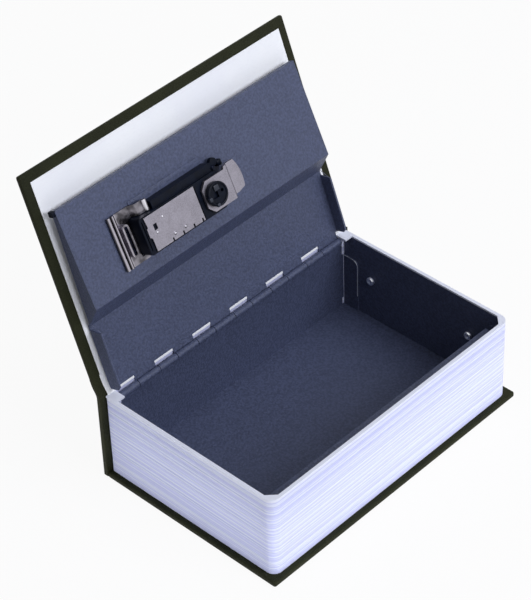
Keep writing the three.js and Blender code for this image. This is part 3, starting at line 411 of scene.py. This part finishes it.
def polished_clip(colour):
    """Bright spring steel with painted dark and light reflections: long stripes along its ribs and soft
    patches on its flat part
    """
    finish = Finish("clip_steel_painted_reflections", Metallic=1.0)
    place = finish.place()
    along = finish.axis(place, 1)
    painted_reflection_stripes = finish.lines(along + 7.3, 0.75, 1, 0.4)
    patches = finish.noise(place, 0.17, 2, 0.45)
    # Painted reflections: the ribs are striped from dark to light and the flat part patched, in place of
    # reflections of the surroundings
    ribs = finish.mix(painted_reflection_stripes.step(0.40, 0.62), tone(colour, 0.3), tone(colour, 2.0))
    flat = finish.mix(patches.step(0.38, 0.62), tone(colour, 0.4), tone(colour, 1.25))
    finish.colour(finish.mix(along.step(CLIP_RIBS_END - 1, CLIP_RIBS_END), ribs, flat))
    finish.roughness(0.15 + patches * 0.12)
    finish.relief(patches, 0.0004)
    return finish.material


def moulded_black(name, colour, specular=0.1):
    finish = Finish(name, Specular_IOR_Level=specular)
    place = finish.place()
    spark = finish.noise(place, 2.2, 3, 0.6)
    cloud = finish.noise(place, 0.2, 2)
    finish.colour(finish.mix(cloud.step(0.3, 0.7), tone(colour, 0.8), tone(colour, 1.5)))
    finish.roughness(0.26 + spark * 0.18)
    finish.relief(spark, 0.00004)
    return finish.material


# Meshes, made in millimetres
def sharp_edges(mesh, angle=35):
    return [edge for edge in mesh.edges if edge.is_manifold and edge.calc_face_angle(0) > radians(angle)]


def round_edges(mesh, edges, radius, segments=2):
    bmesh.ops.bevel(
        mesh, geom=edges, offset=radius, offset_type="OFFSET", affect="EDGES", segments=segments,
        profile=0.5, material=-1, clamp_overlap=True)


def piece(name, mesh, material, body, place=TO_METRES, stands_for=(), smooth=38):
    """Turns a finished mesh into an object that rides on a body"""
    mesh.transform(place)
    data = bpy.data.meshes.new(name)
    mesh.to_mesh(data)
    mesh.free()
    for face in data.polygons:
        face.use_smooth = True
    data.set_sharp_from_angle(angle=radians(smooth))
    data.materials.append(material)
    made = bpy.data.objects.new(name, data)
    bpy.context.scene.collection.objects.link(made)
    if body:
        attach(made, body)
    if stands_for:
        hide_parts(*stands_for)
    return made


def carried(name, node, material, body, radius, segments=2, angle=35, turn=Matrix.Identity(4)):
    """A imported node's own shape with its corners merged and its sharp edges rounded"""
    mesh = bmesh.new()
    mesh.from_mesh(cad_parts[node].data)
    bmesh.ops.remove_doubles(mesh, verts=mesh.verts, dist=1e-6)
    bmesh.ops.dissolve_limit(mesh, angle_limit=radians(0.5), verts=mesh.verts, edges=mesh.edges)
    if radius:
        round_edges(mesh, sharp_edges(mesh, angle), radius, segments)
    made = piece(name, mesh, material, body, turn, (node,))
    shade = made.modifiers.new("even_normals", "WEIGHTED_NORMAL")
    shade.keep_sharp = True
    return made


def cuboid(x0, x1, y0, y1, z0, z1):
    mesh = bmesh.new()
    bmesh.ops.create_cube(mesh, size=1)
    bmesh.ops.scale(mesh, vec=(x1 - x0, y1 - y0, z1 - z0), verts=mesh.verts)
    bmesh.ops.translate(mesh, vec=((x0 + x1) / 2, (y0 + y1) / 2, (z0 + z1) / 2), verts=mesh.verts)
    return mesh


def drawn_out(outline, y0, y1):
    """A closed outline in X and Z, drawn out along the book"""
    mesh = bmesh.new()
    face = mesh.faces.new([mesh.verts.new((x, y0, z)) for x, z in outline])
    grown = bmesh.ops.extrude_face_region(mesh, geom=[face])["geom"]
    ends = [part for part in grown if isinstance(part, bmesh.types.BMVert)]
    bmesh.ops.translate(mesh, vec=(0, y1 - y0, 0), verts=ends)
    bmesh.ops.recalc_face_normals(mesh, faces=mesh.faces)
    return mesh


def bend(first, pull, push, last, steps=14):
    """Points on a smooth bend from first to last, in X and Z"""
    points = []
    for i in range(steps + 1):
        t = i / steps
        weights = ((1 - t) ** 3, 3 * t * (1 - t) ** 2, 3 * t * t * (1 - t), t ** 3)
        corners = (first, pull, push, last)
        points.append(tuple(sum(w * c[axis] for w, c in zip(weights, corners)) for axis in (0, 1)))
    return points


def turned(profile, steps=32):
    """A profile of radius and height pairs spun round the Z axis"""
    mesh = bmesh.new()
    chain = [mesh.verts.new((radius, 0, height)) for radius, height in profile]
    edges = [mesh.edges.new(pair) for pair in zip(chain, chain[1:])]
    bmesh.ops.spin(
        mesh, geom=chain + edges, cent=(0, 0, 0), axis=(0, 0, 1), angle=radians(360), steps=steps,
        use_merge=True)
    bmesh.ops.remove_doubles(mesh, verts=mesh.verts, dist=1e-4)
    bmesh.ops.recalc_face_normals(mesh, faces=mesh.faces)
    return mesh


def merged(meshes):
    """Several closed shapes in one mesh"""
    whole = bmesh.new()
    for mesh in meshes:
        part = bpy.data.meshes.new("part")
        mesh.to_mesh(part)
        mesh.free()
        whole.from_mesh(part)
        bpy.data.meshes.remove(part)
    return whole


def ribbon(points, y0, y1, thickness):
    """A line of points in X and Z drawn out along the book and given a thickness"""
    mesh = bmesh.new()
    chain = [mesh.verts.new((x, y0, z)) for x, z in points]
    edges = [mesh.edges.new(pair) for pair in zip(chain, chain[1:])]
    grown = bmesh.ops.extrude_edge_only(mesh, edges=edges)["geom"]
    far = [part for part in grown if isinstance(part, bmesh.types.BMVert)]
    bmesh.ops.translate(mesh, vec=(0, y1 - y0, 0), verts=far)
    bmesh.ops.recalc_face_normals(mesh, faces=mesh.faces)
    bmesh.ops.solidify(mesh, geom=mesh.faces[:], thickness=thickness)
    bmesh.ops.recalc_face_normals(mesh, faces=mesh.faces)
    return mesh


def soft_block(radius, *box):
    """A cuboid with rounded edges"""
    mesh = cuboid(*box)
    round_edges(mesh, mesh.edges[:], radius, 3)
    return mesh


def cut(mesh, point, normal):
    """Splits a mesh's faces along a plane and keeps both sides"""
    whole = mesh.verts[:] + mesh.edges[:] + mesh.faces[:]
    bmesh.ops.bisect_plane(mesh, geom=whole, dist=1e-4, plane_co=point, plane_no=normal)


def cut_fold(mesh, start):
    """Rows of faces cut across the cover's fold"""
    for step in range(1, FOLD_CUTS + 1):
        cut(mesh, (start + step * FOLD_STEP, 0, 0), (1, 0, 0))


def both_sides(near, far):
    """A span along the book at its tail, then the same span at its head"""
    return [sorted((side * near, side * far)) for side in (-1, 1)]


def in_joint(along, out):
    """A point of the cloth joint in X and Z, from its place along the cover and out from the fold"""
    point = JOINT_PLACE @ Vector((along, 0, out))
    return (point.x, point.z)


def in_metres(x, z):
    return (x / 1000, 0, z / 1000)


def finishes():
    return bpy.context.scene.safe_finishes


def sizes():
    return bpy.context.scene.safe_sizes


def kept(name, build, *values):
    """A material by name, built once"""
    return bpy.data.materials.get(name) or build(*values)


def cloth_finish():
    return kept("olive_leatherette", leatherette, finishes().cloth)


def paper_finish():
    return kept("cover_paper", endpaper, finishes().paper)


def page_finish():
    return kept("moulded_pages", page_plastic, finishes().pages)


def paint_finish():
    return kept("blue_grey_paint", powder_coat, finishes().paint)


def nickel_finish():
    return kept("plated_nickel", plated, "plated_nickel", finishes().nickel)


def steel_finish():
    return kept("plain_steel", plated, "plain_steel", PLAIN_STEEL, DRAWN_GRAIN, 0.00003)


def digit_finish():
    return kept("white_figures", endpaper, FIGURE_WHITE, "white_figures")


def clip_finish():
    return kept("clip_steel_painted_reflections", polished_clip, finishes().clip)


def cut_finish():
    return kept("cut_steel_edge", plated, "cut_steel_edge", CUT_STEEL_AND_PAINTED_HIGHLIGHT, DRAWN_GRAIN, 0.00003, 0.45)


def bright_finish():
    return kept("bright_nickel", plated, "bright_nickel", PAINTED_GLINT_NICKEL, EVEN_GRAIN, 0.00003, 0.2)


def rivet_finish():
    return kept("rivet_gloss", plated, "rivet_gloss", RIVET_NICKEL, EVEN_GRAIN, 0.00003, 0.22)


def edge_finish():
    return kept("worn_paint_edge", powder_coat, PAINTED_EDGE_HIGHLIGHT, "worn_paint_edge")


def slot_finish():
    return kept("slot_paper", endpaper, SHADED_PAPER, "slot_paper")


def grey_finish():
    return kept("grey_moulding", moulded_black, "grey_moulding", PAINTED_SHEEN_PLASTIC, 0.35)


def black_finish():
    return kept("black_moulding", moulded_black, "black_moulding", finishes().plastic)


class SAFE_OT_case(bpy.types.Operator):
    """Cloth-covered boards of the book case, one band from the spine over the joint to the cover"""

    bl_idname = "safe.case"
    bl_label = "Book case"

    def execute(self, context):
        edge = sizes().board_round
        cloth = cloth_finish()
        carried("back_cover", "back_board", cloth, "box", edge, 3)
        spine = drawn_out(self.spine_outline(), -HALF_LENGTH, HALF_LENGTH)
        round_edges(spine, sharp_edges(spine, 60), edge * 1000 * SPINE_SOFTNESS, 3)
        for vert in spine.verts:
            if vert.co.z > SPINE_BEND + 0.5 and vert.co.y > 0:
                vert.co.y -= JOINT_DRAWN_IN
        band = piece(
            "spine_and_joint", spine, cloth, None, stands_for=("spine_board", "joint_cloth"))
        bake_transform(band)
        front = cuboid(COVER_START, COVER_LENGTH, -HALF_LENGTH, HALF_LENGTH, -COVER_THICKNESS, 0)
        loose = [e for e in front.edges if any(v.co.x > COVER_START + 1 for v in e.verts)]
        round_edges(front, loose, edge * 1000, 3)
        cut_fold(front, COVER_START)
        board = piece(
            "front_cover", front, cloth, None, TO_METRES @ COVER_PLACE, ("front_board",))
        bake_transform(board)
        return {"FINISHED"}

    def spine_outline(self):
        """The spine and the band over the joint, from the foot up the outside and back"""
        out, back = JOINT_CLOTH
        end = COVER_START + JOINT_WIDTH + 1
        outer = bend(
            (SPINE_OUTER, SPINE_BEND), (SPINE_OUTER, SPINE_BEND + 2.5), in_joint(1, out),
            in_joint(JOINT_MIDDLE, out))
        inner = bend(
            (BLOCK_BACK, SPINE_BEND), (BLOCK_BACK, SPINE_BEND + 2), in_joint(1.2, back),
            in_joint(JOINT_MIDDLE, back))
        top = [in_joint(end, out), in_joint(end, back)]
        return [(SPINE_OUTER, 0), *outer, *top, *reversed(inner), (BLOCK_BACK, 0)]

    @staticmethod
    def cover_fold():
        """Where the cover's bend starts on the joint and ends on the board"""
        return in_metres(*in_joint(JOINT_WIDTH - 1.5, 0)), in_metres(*in_joint(JOINT_WIDTH + 2.5, 0))


class SAFE_OT_lining(bpy.types.Operator):
    """White paper over the joint and inside the front cover"""

    bl_idname = "safe.lining"
    bl_label = "Endpapers"

    def execute(self, context):
        paper = paper_finish()
        joint = drawn_out(self.joint_outline(), -JOINT_PAPER_SIDE, JOINT_PAPER_SIDE)
        strip = piece(
            "joint_lining", joint, paper, None, stands_for=("spine_endpaper", "joint_endpaper"))
        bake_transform(strip)
        strips = [
            cuboid(BLOCK_BACK + PASTE, BLOCK_BACK + PAPER, -side, side, low, high)
            for side, low, high in SLOT_LININGS]
        piece("slot_lining", merged(strips), slot_finish(), "box")
        sheet = cuboid(
            COVER_START + 1, COVER_LENGTH - TURN_IN, TURN_IN - HALF_LENGTH, HALF_LENGTH - TURN_IN,
            -COVER_THICKNESS - PAPER, -COVER_THICKNESS + PASTE)
        cut_fold(sheet, COVER_START + 1)
        lining = piece(
            "cover_lining", sheet, paper, None, TO_METRES @ COVER_PLACE, ("front_endpaper",))
        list(SAFE_OT_case.cover_fold())
        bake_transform(lining)
        return {"FINISHED"}

    def joint_outline(self):
        """The paper strip from the block's rim to the cover, along one face and back along the other"""
        x, z = BLOCK_BACK + 0.15, RIM_TOP - 0.3
        under = JOINT_PAPER - PAPER
        end = COVER_START + JOINT_WIDTH + 1.2
        near = bend((x, z), (x, z + 1.6), in_joint(1.2, JOINT_PAPER), in_joint(JOINT_MIDDLE, JOINT_PAPER))
        far = bend(
            (x + PAPER, z), (x + PAPER, z + 1.6), in_joint(1.2, under), in_joint(JOINT_MIDDLE, under))
        return [*near, in_joint(end, JOINT_PAPER), in_joint(end, under), *reversed(far)]


class SAFE_OT_page_block(bpy.types.Operator):
    """Moulded plastic page block round the steel box"""

    bl_idname = "safe.page_block"
    bl_label = "Page block"

    def execute(self, context):
        pages = page_finish()
        carried("moulded_pages", "page_block", pages, "box", sizes().block_round / 2, 2)
        piece("rivet_heads", merged(self.rivets()), rivet_finish(), "box")
        piece("corner_tongues", merged(self.tongues()), pages, "box")
        return {"FINISHED"}

    def rivets(self):
        """A dished head on each stud that holds the block to the steel"""
        places = []
        for side in (-1, 1):
            for x in STUDS_ON_SIDE:
                on_wall = Matrix.Translation((x, side * STUD_HEAD_SIDE, STUD_UP))
                places.append(on_wall @ Matrix.Rotation(side * radians(90), 4, "X"))
        for y in STUDS_ON_FRONT:
            on_wall = Matrix.Translation((STUD_HEAD_FRONT, y, STUD_UP))
            places.append(on_wall @ Matrix.Rotation(-radians(90), 4, "Y"))
        heads = []
        for place in places:
            head = turned(STUD_HEAD)
            head.transform(place)
            heads.append(head)
        return heads

    def tongues(self):
        """The block's plastic where it shows through the reliefs in the steel's rear corners"""
        shapes = []
        for side in (-1, 1):
            for near, far, low, high in CORNER_TONGUES:
                y0, y1 = sorted((side * near, side * far))
                shapes.append(soft_block(0.2, *TONGUE_DEPTH, y0, y1, low, high))
            near, far, low, high = CORNER_SEAM
            y0, y1 = sorted((side * near, side * far))
            shapes.append(soft_block(0.08, *SEAM_DEPTH, y0, y1, low, high))
        return shapes


class SAFE_OT_steel_box(bpy.types.Operator):
    """Painted steel box and its hinge pin"""

    bl_idname = "safe.steel_box"
    bl_label = "Steel box"

    def execute(self, context):
        carried("painted_box", "steel_box", paint_finish(), "box", sizes().steel_round, 2)
        carried("hinge_wire", "hinge_pin", steel_finish(), "box", sizes().steel_round, 2)
        # Bare cut edges of the tabs, drawn as a bright steel line that is also a painted highlight along
        # the tab's outline
        line = [(TAB_BACK, TAB_TOP), *bend(*TAB_BEND, 8), (TAB_END, TAB_FOOT)]
        edges = [ribbon(line, y0, y1, TAB_EDGE_THICKNESS) for y0, y1 in both_sides(*TAB_EDGE)]
        piece("cut_tab_edges", merged(edges), cut_finish(), "box")
        return {"FINISHED"}


class SAFE_OT_lid(bpy.types.Operator):
    """Painted steel lid"""

    bl_idname = "safe.lid"
    bl_label = "Lid"

    def execute(self, context):
        paint = paint_finish()
        carried("painted_lid", "lid_panel", paint, "lid", sizes().steel_round, 2)
        pressed = soft_block(0.2, *PRESSED_STRAP)
        piece("pressed_line", pressed, paint, "lid", TO_METRES @ PANEL_PLACE)
        # Painted highlight: thin lines of lighter paint along the side flanges' free edges
        spans = both_sides(*FLANGE_SIDE)
        lines = [ribbon(FLANGE_LINE, y0, y1, FLANGE_LINE_THICKNESS) for y0, y1 in spans]
        piece("flange_edges", merged(lines), edge_finish(), "lid", TO_METRES @ LID_PLACE)
        nub = soft_block(0.5, *EDGE_NUB)
        piece("edge_nub", nub, black_finish(), "lid", TO_METRES @ LID_PLACE)
        return {"FINISHED"}


class SAFE_OT_lock(bpy.types.Operator):
    """Fixed pieces of the combination lock"""

    bl_idname = "safe.lock"
    bl_label = "Lock body"

    def execute(self, context):
        radius = sizes().lock_round
        black = black_finish()
        nickel = nickel_finish()
        steel = steel_finish()
        carried("lock_case", "lock_housing", black, "lid", radius)
        carried("lock_front", "lock_face_plate", nickel, "lid", radius)
        carried("lock_cover_plate", "lock_inner_plate", nickel, "lid", radius / 2)
        # The domes and the clip's curl are drawn in a brighter nickel, as painted glints
        domes = [self.dome(up, along) for up, along in PLATE_DOMES]
        piece("plate_domes", merged(domes), bright_finish(), "lid", TO_METRES @ PANEL_PLACE)
        carried("lock_clip", "lock_bracket", clip_finish(), "lid", radius / 2)
        curl = turned(CLIP_CURL_PROFILE, 24)
        curl.transform(Matrix.Translation(CLIP_CURL) @ Matrix.Rotation(radians(90), 4, "Y"))
        piece("clip_curl", curl, bright_finish(), "lid", TO_METRES @ PANEL_PLACE)
        carried("wheel_rod", "wheel_axle", steel, "lid", radius)
        carried("click_spring", "detent_spring", steel, "lid", radius / 3)
        carried("change_lever", "code_lever", black, "lever", radius)
        rest = soft_block(0.6, *LEVER_REST)
        piece("lever_rest", rest, black, "lid", TO_METRES @ PANEL_PLACE)
        return {"FINISHED"}

    def dome(self, up, along):
        """A shallow dome pressed out of the cover plate"""
        cap = turned(DOME_PROFILE, 20)
        cap.transform(Matrix.Translation((up, along, PLATE_FACE)))
        return cap


class SAFE_OT_knob(bpy.types.Operator):
    """Knob, cam and cap on the lock's spindle"""

    bl_idname = "safe.knob"
    bl_label = "Knob and cam"

    def execute(self, context):
        radius = sizes().lock_round
        carried("grip_knob", "turn_knob", black_finish(), "knob", radius)
        carried("latch_cam", "lock_cam", nickel_finish(), "knob", radius)
        carried("snap_cap", "cam_cap", black_finish(), "knob", radius)
        place = TO_METRES @ SPINDLE_PLACE
        piece("cap_lip", turned(CAP_LIP, 48), black_finish(), "knob", place)
        # The cap's post and hooks are in a lighter, glossier plastic: a painted reflection
        clips = [soft_block(0.25, *CAP_POST)] + [soft_block(0.2, *hook) for hook in CAP_HOOKS]
        piece("cap_clips", merged(clips), grey_finish(), "knob", place)
        return {"FINISHED"}


class SAFE_OT_wheels(bpy.types.Operator):
    """Number wheels and code discs"""

    bl_idname = "safe.wheels"
    bl_label = "Number wheels"

    def execute(self, context):
        radius = sizes().lock_round
        axle = TO_METRES @ PANEL_PLACE @ Matrix.Translation((SPINDLE_UP, 0, -AXLE_DEPTH))
        half_step = axle @ Matrix.Rotation(radians(FIGURE_STEP / 2), 4, "Y") @ axle.inverted()
        for number in (1, 2, 3):
            body = f"wheel_{number}"
            middle = WHEEL_MIDDLE + (number - 2) * WHEEL_PITCH
            carried(
                f"digit_wheel_{number}", f"number_wheel_{number}", black_finish(), body,
                radius, turn=half_step)
            carried(
                f"notch_disc_{number}", f"code_disc_{number}", steel_finish(), body,
                radius / 2)
            digits = merged(self.digit(figure, middle) for figure in range(360 // FIGURE_STEP))
            piece(f"digits_{number}", digits, digit_finish(), body, TO_METRES @ PANEL_PLACE)
        return {"FINISHED"}

    def digit(self, figure, middle):
        """One plain figure wrapped on a wheel's rim"""
        curve = bpy.data.curves.new("figure", "FONT")
        curve.body = str(figure)
        curve.size = FIGURE_HEIGHT
        curve.extrude = FIGURE_RELIEF
        curve.align_x = "CENTER"
        curve.align_y = "CENTER"
        shown = bpy.data.objects.new("figure", curve)
        flat = bpy.data.meshes.new_from_object(shown)
        mesh = bmesh.new()
        mesh.from_mesh(flat)
        bpy.data.meshes.remove(flat)
        bpy.data.objects.remove(shown)
        bpy.data.curves.remove(curve)
        for level in FIGURE_CUTS:
            cut(mesh, (0, level, 0), (0, 1, 0))
        for vert in mesh.verts:
            across, up, out = vert.co
            angle = radians((figure + 0.5) * FIGURE_STEP) + up / WHEEL_RADIUS
            reach = WHEEL_RADIUS + out
            vert.co = (SPINDLE_UP + reach * cos(angle), middle + across, -AXLE_DEPTH + reach * sin(angle))
        bmesh.ops.recalc_face_normals(mesh, faces=mesh.faces)
        return mesh


def soft_lamp(name, power, width, height, place, aim, spread=180):
    """A rectangular lamp turned to a point"""
    data = bpy.data.lights.new(name, "AREA")
    data.energy = power
    data.color = LAMP_WHITE
    data.shape = "RECTANGLE"
    data.size = width
    data.size_y = height
    data.spread = radians(spread)
    lamp = bpy.data.objects.new(name, data)
    lamp.location = place
    lamp.rotation_euler = (Vector(aim) - Vector(place)).to_track_quat("-Z", "Y").to_euler()
    bpy.context.scene.collection.objects.link(lamp)


class SAFE_OT_studio(bpy.types.Operator):
    """Pale floor, soft lamps and the camera"""

    bl_idname = "safe.studio"
    bl_label = "Studio"

    def execute(self, context):
        self.floor()
        self.room(context.scene)
        studio = context.scene.safe_studio
        soft_lamp("key_lamp", studio.key, 1.2, 0.6, (1.15, 0.3, 0.95), (0, 0, 0.08))
        soft_lamp("fill_lamp", studio.fill, 0.17, 0.05, (0, -0.7, 0.026), (0, 0, 0.026), 12)
        soft_lamp("front_lamp", studio.front, 0.24, 0.05, (0.7, 0, 0.022), (0, 0, 0.018), 6)
        soft_lamp("top_lamp", studio.top, 0.8, 0.8, (0.15, 0.3, 1.3), (0, 0, 0.03))
        self.camera(context.scene)
        return {"FINISHED"}

    def floor(self):
        """A wide disc that looks almost white to the camera and lights the safe as a pale floor does"""
        finish = Finish("studio_floor", Roughness=0.9, Specular_IOR_Level=0.1)
        finish.shader.inputs["Base Color"].default_value = FLOOR_GREY
        glow = finish.node("ShaderNodeEmission", {}, {"Color": (1, 1, 1, 1), "Strength": 1.0})
        rays = finish.tree.nodes.new("ShaderNodeLightPath")
        seen = Value(finish, rays.outputs["Is Camera Ray"]) + Value(finish, rays.outputs["Is Glossy Ray"])
        blend = finish.node("ShaderNodeMixShader", {}, {
            0: seen * 0.94, 1: Value(finish, finish.shader.outputs[0]), 2: glow})
        finish.feed(finish.tree.nodes["Material Output"].inputs["Surface"], blend)
        mesh = bmesh.new()
        bmesh.ops.create_circle(mesh, cap_ends=True, segments=64, radius=6)
        data = bpy.data.meshes.new("studio_floor")
        mesh.to_mesh(data)
        mesh.free()
        data.materials.append(finish.material)
        ground = bpy.data.objects.new("studio_floor", data)
        bpy.context.scene.collection.objects.link(ground)

    def room(self, scene):
        """White to the camera and in reflections, and dimmer as a light"""
        world = bpy.data.worlds.new("studio")
        scene.world = world
        world.use_nodes = True
        tree = world.node_tree
        rays = tree.nodes.new("ShaderNodeLightPath")
        seen = tree.nodes.new("ShaderNodeMath")
        seen.operation = "MAXIMUM"
        tree.links.new(rays.outputs["Is Camera Ray"], seen.inputs[0])
        tree.links.new(rays.outputs["Is Glossy Ray"], seen.inputs[1])
        level = tree.nodes.new("ShaderNodeMapRange")
        level.inputs["To Min"].default_value = scene.safe_studio.sky
        level.inputs["To Max"].default_value = 1
        tree.links.new(seen.outputs[0], level.inputs["Value"])
        background = tree.nodes["Background"]
        background.inputs["Color"].default_value = (1, 1, 1, 1)
        tree.links.new(level.outputs[0], background.inputs["Strength"])

    def camera(self, scene):
        """The camera at the photograph's viewing angle"""
        data = bpy.data.cameras.new("photo_camera")
        data.lens = CAMERA_LENS
        data.sensor_width = CAMERA_SENSOR
        data.sensor_fit = "AUTO"
        data.clip_start = 0.05
        data.clip_end = 50
        lens = bpy.data.objects.new("photo_camera", data)
        right = Vector(CAMERA_RIGHT)
        up = Vector(CAMERA_UP)
        axes = Matrix((right, up, right.cross(up))).transposed().to_4x4()
        lens.matrix_world = Matrix.Translation(CAMERA_PLACE) @ axes
        scene.collection.objects.link(lens)
        scene.camera = lens
        scene.view_settings.view_transform = "Standard"


class SAFE_PT_panel(bpy.types.Panel):
    """Pieces, finishes and light of the book safe"""

    bl_idname = "SAFE_PT_panel"
    bl_label = "Book Safe"
    bl_space_type = "VIEW_3D"
    bl_region_type = "UI"
    bl_category = "Book Safe"

    def draw(self, context):
        for group in (context.scene.safe_finishes, context.scene.safe_sizes, context.scene.safe_studio):
            box = self.layout.box()
            for name in group.__annotations__:
                box.prop(group, name)
        for operator in OPERATORS:
            self.layout.operator(operator.bl_idname)


OPERATORS = (
    SAFE_OT_case, SAFE_OT_lining, SAFE_OT_page_block, SAFE_OT_steel_box, SAFE_OT_lid, SAFE_OT_lock,
    SAFE_OT_knob, SAFE_OT_wheels, SAFE_OT_studio,
)
CLASSES = (SafeFinishes, SafeSizes, SafeStudio, *OPERATORS, SAFE_PT_panel)


def register():
    for made in CLASSES:
        bpy.utils.register_class(made)
    bpy.types.Scene.safe_finishes = PointerProperty(type=SafeFinishes)
    bpy.types.Scene.safe_sizes = PointerProperty(type=SafeSizes)
    bpy.types.Scene.safe_studio = PointerProperty(type=SafeStudio)


def unregister():
    del bpy.types.Scene.safe_studio
    del bpy.types.Scene.safe_sizes
    del bpy.types.Scene.safe_finishes
    for made in reversed(CLASSES):
        bpy.utils.unregister_class(made)


def main():
    register()
    bpy.ops.safe.case()
    bpy.ops.safe.lining()
    bpy.ops.safe.page_block()
    bpy.ops.safe.steel_box()
    bpy.ops.safe.lid()
    bpy.ops.safe.lock()
    bpy.ops.safe.knob()
    bpy.ops.safe.wheels()
    bpy.ops.safe.studio()


if __name__ == "__main__":
    main()
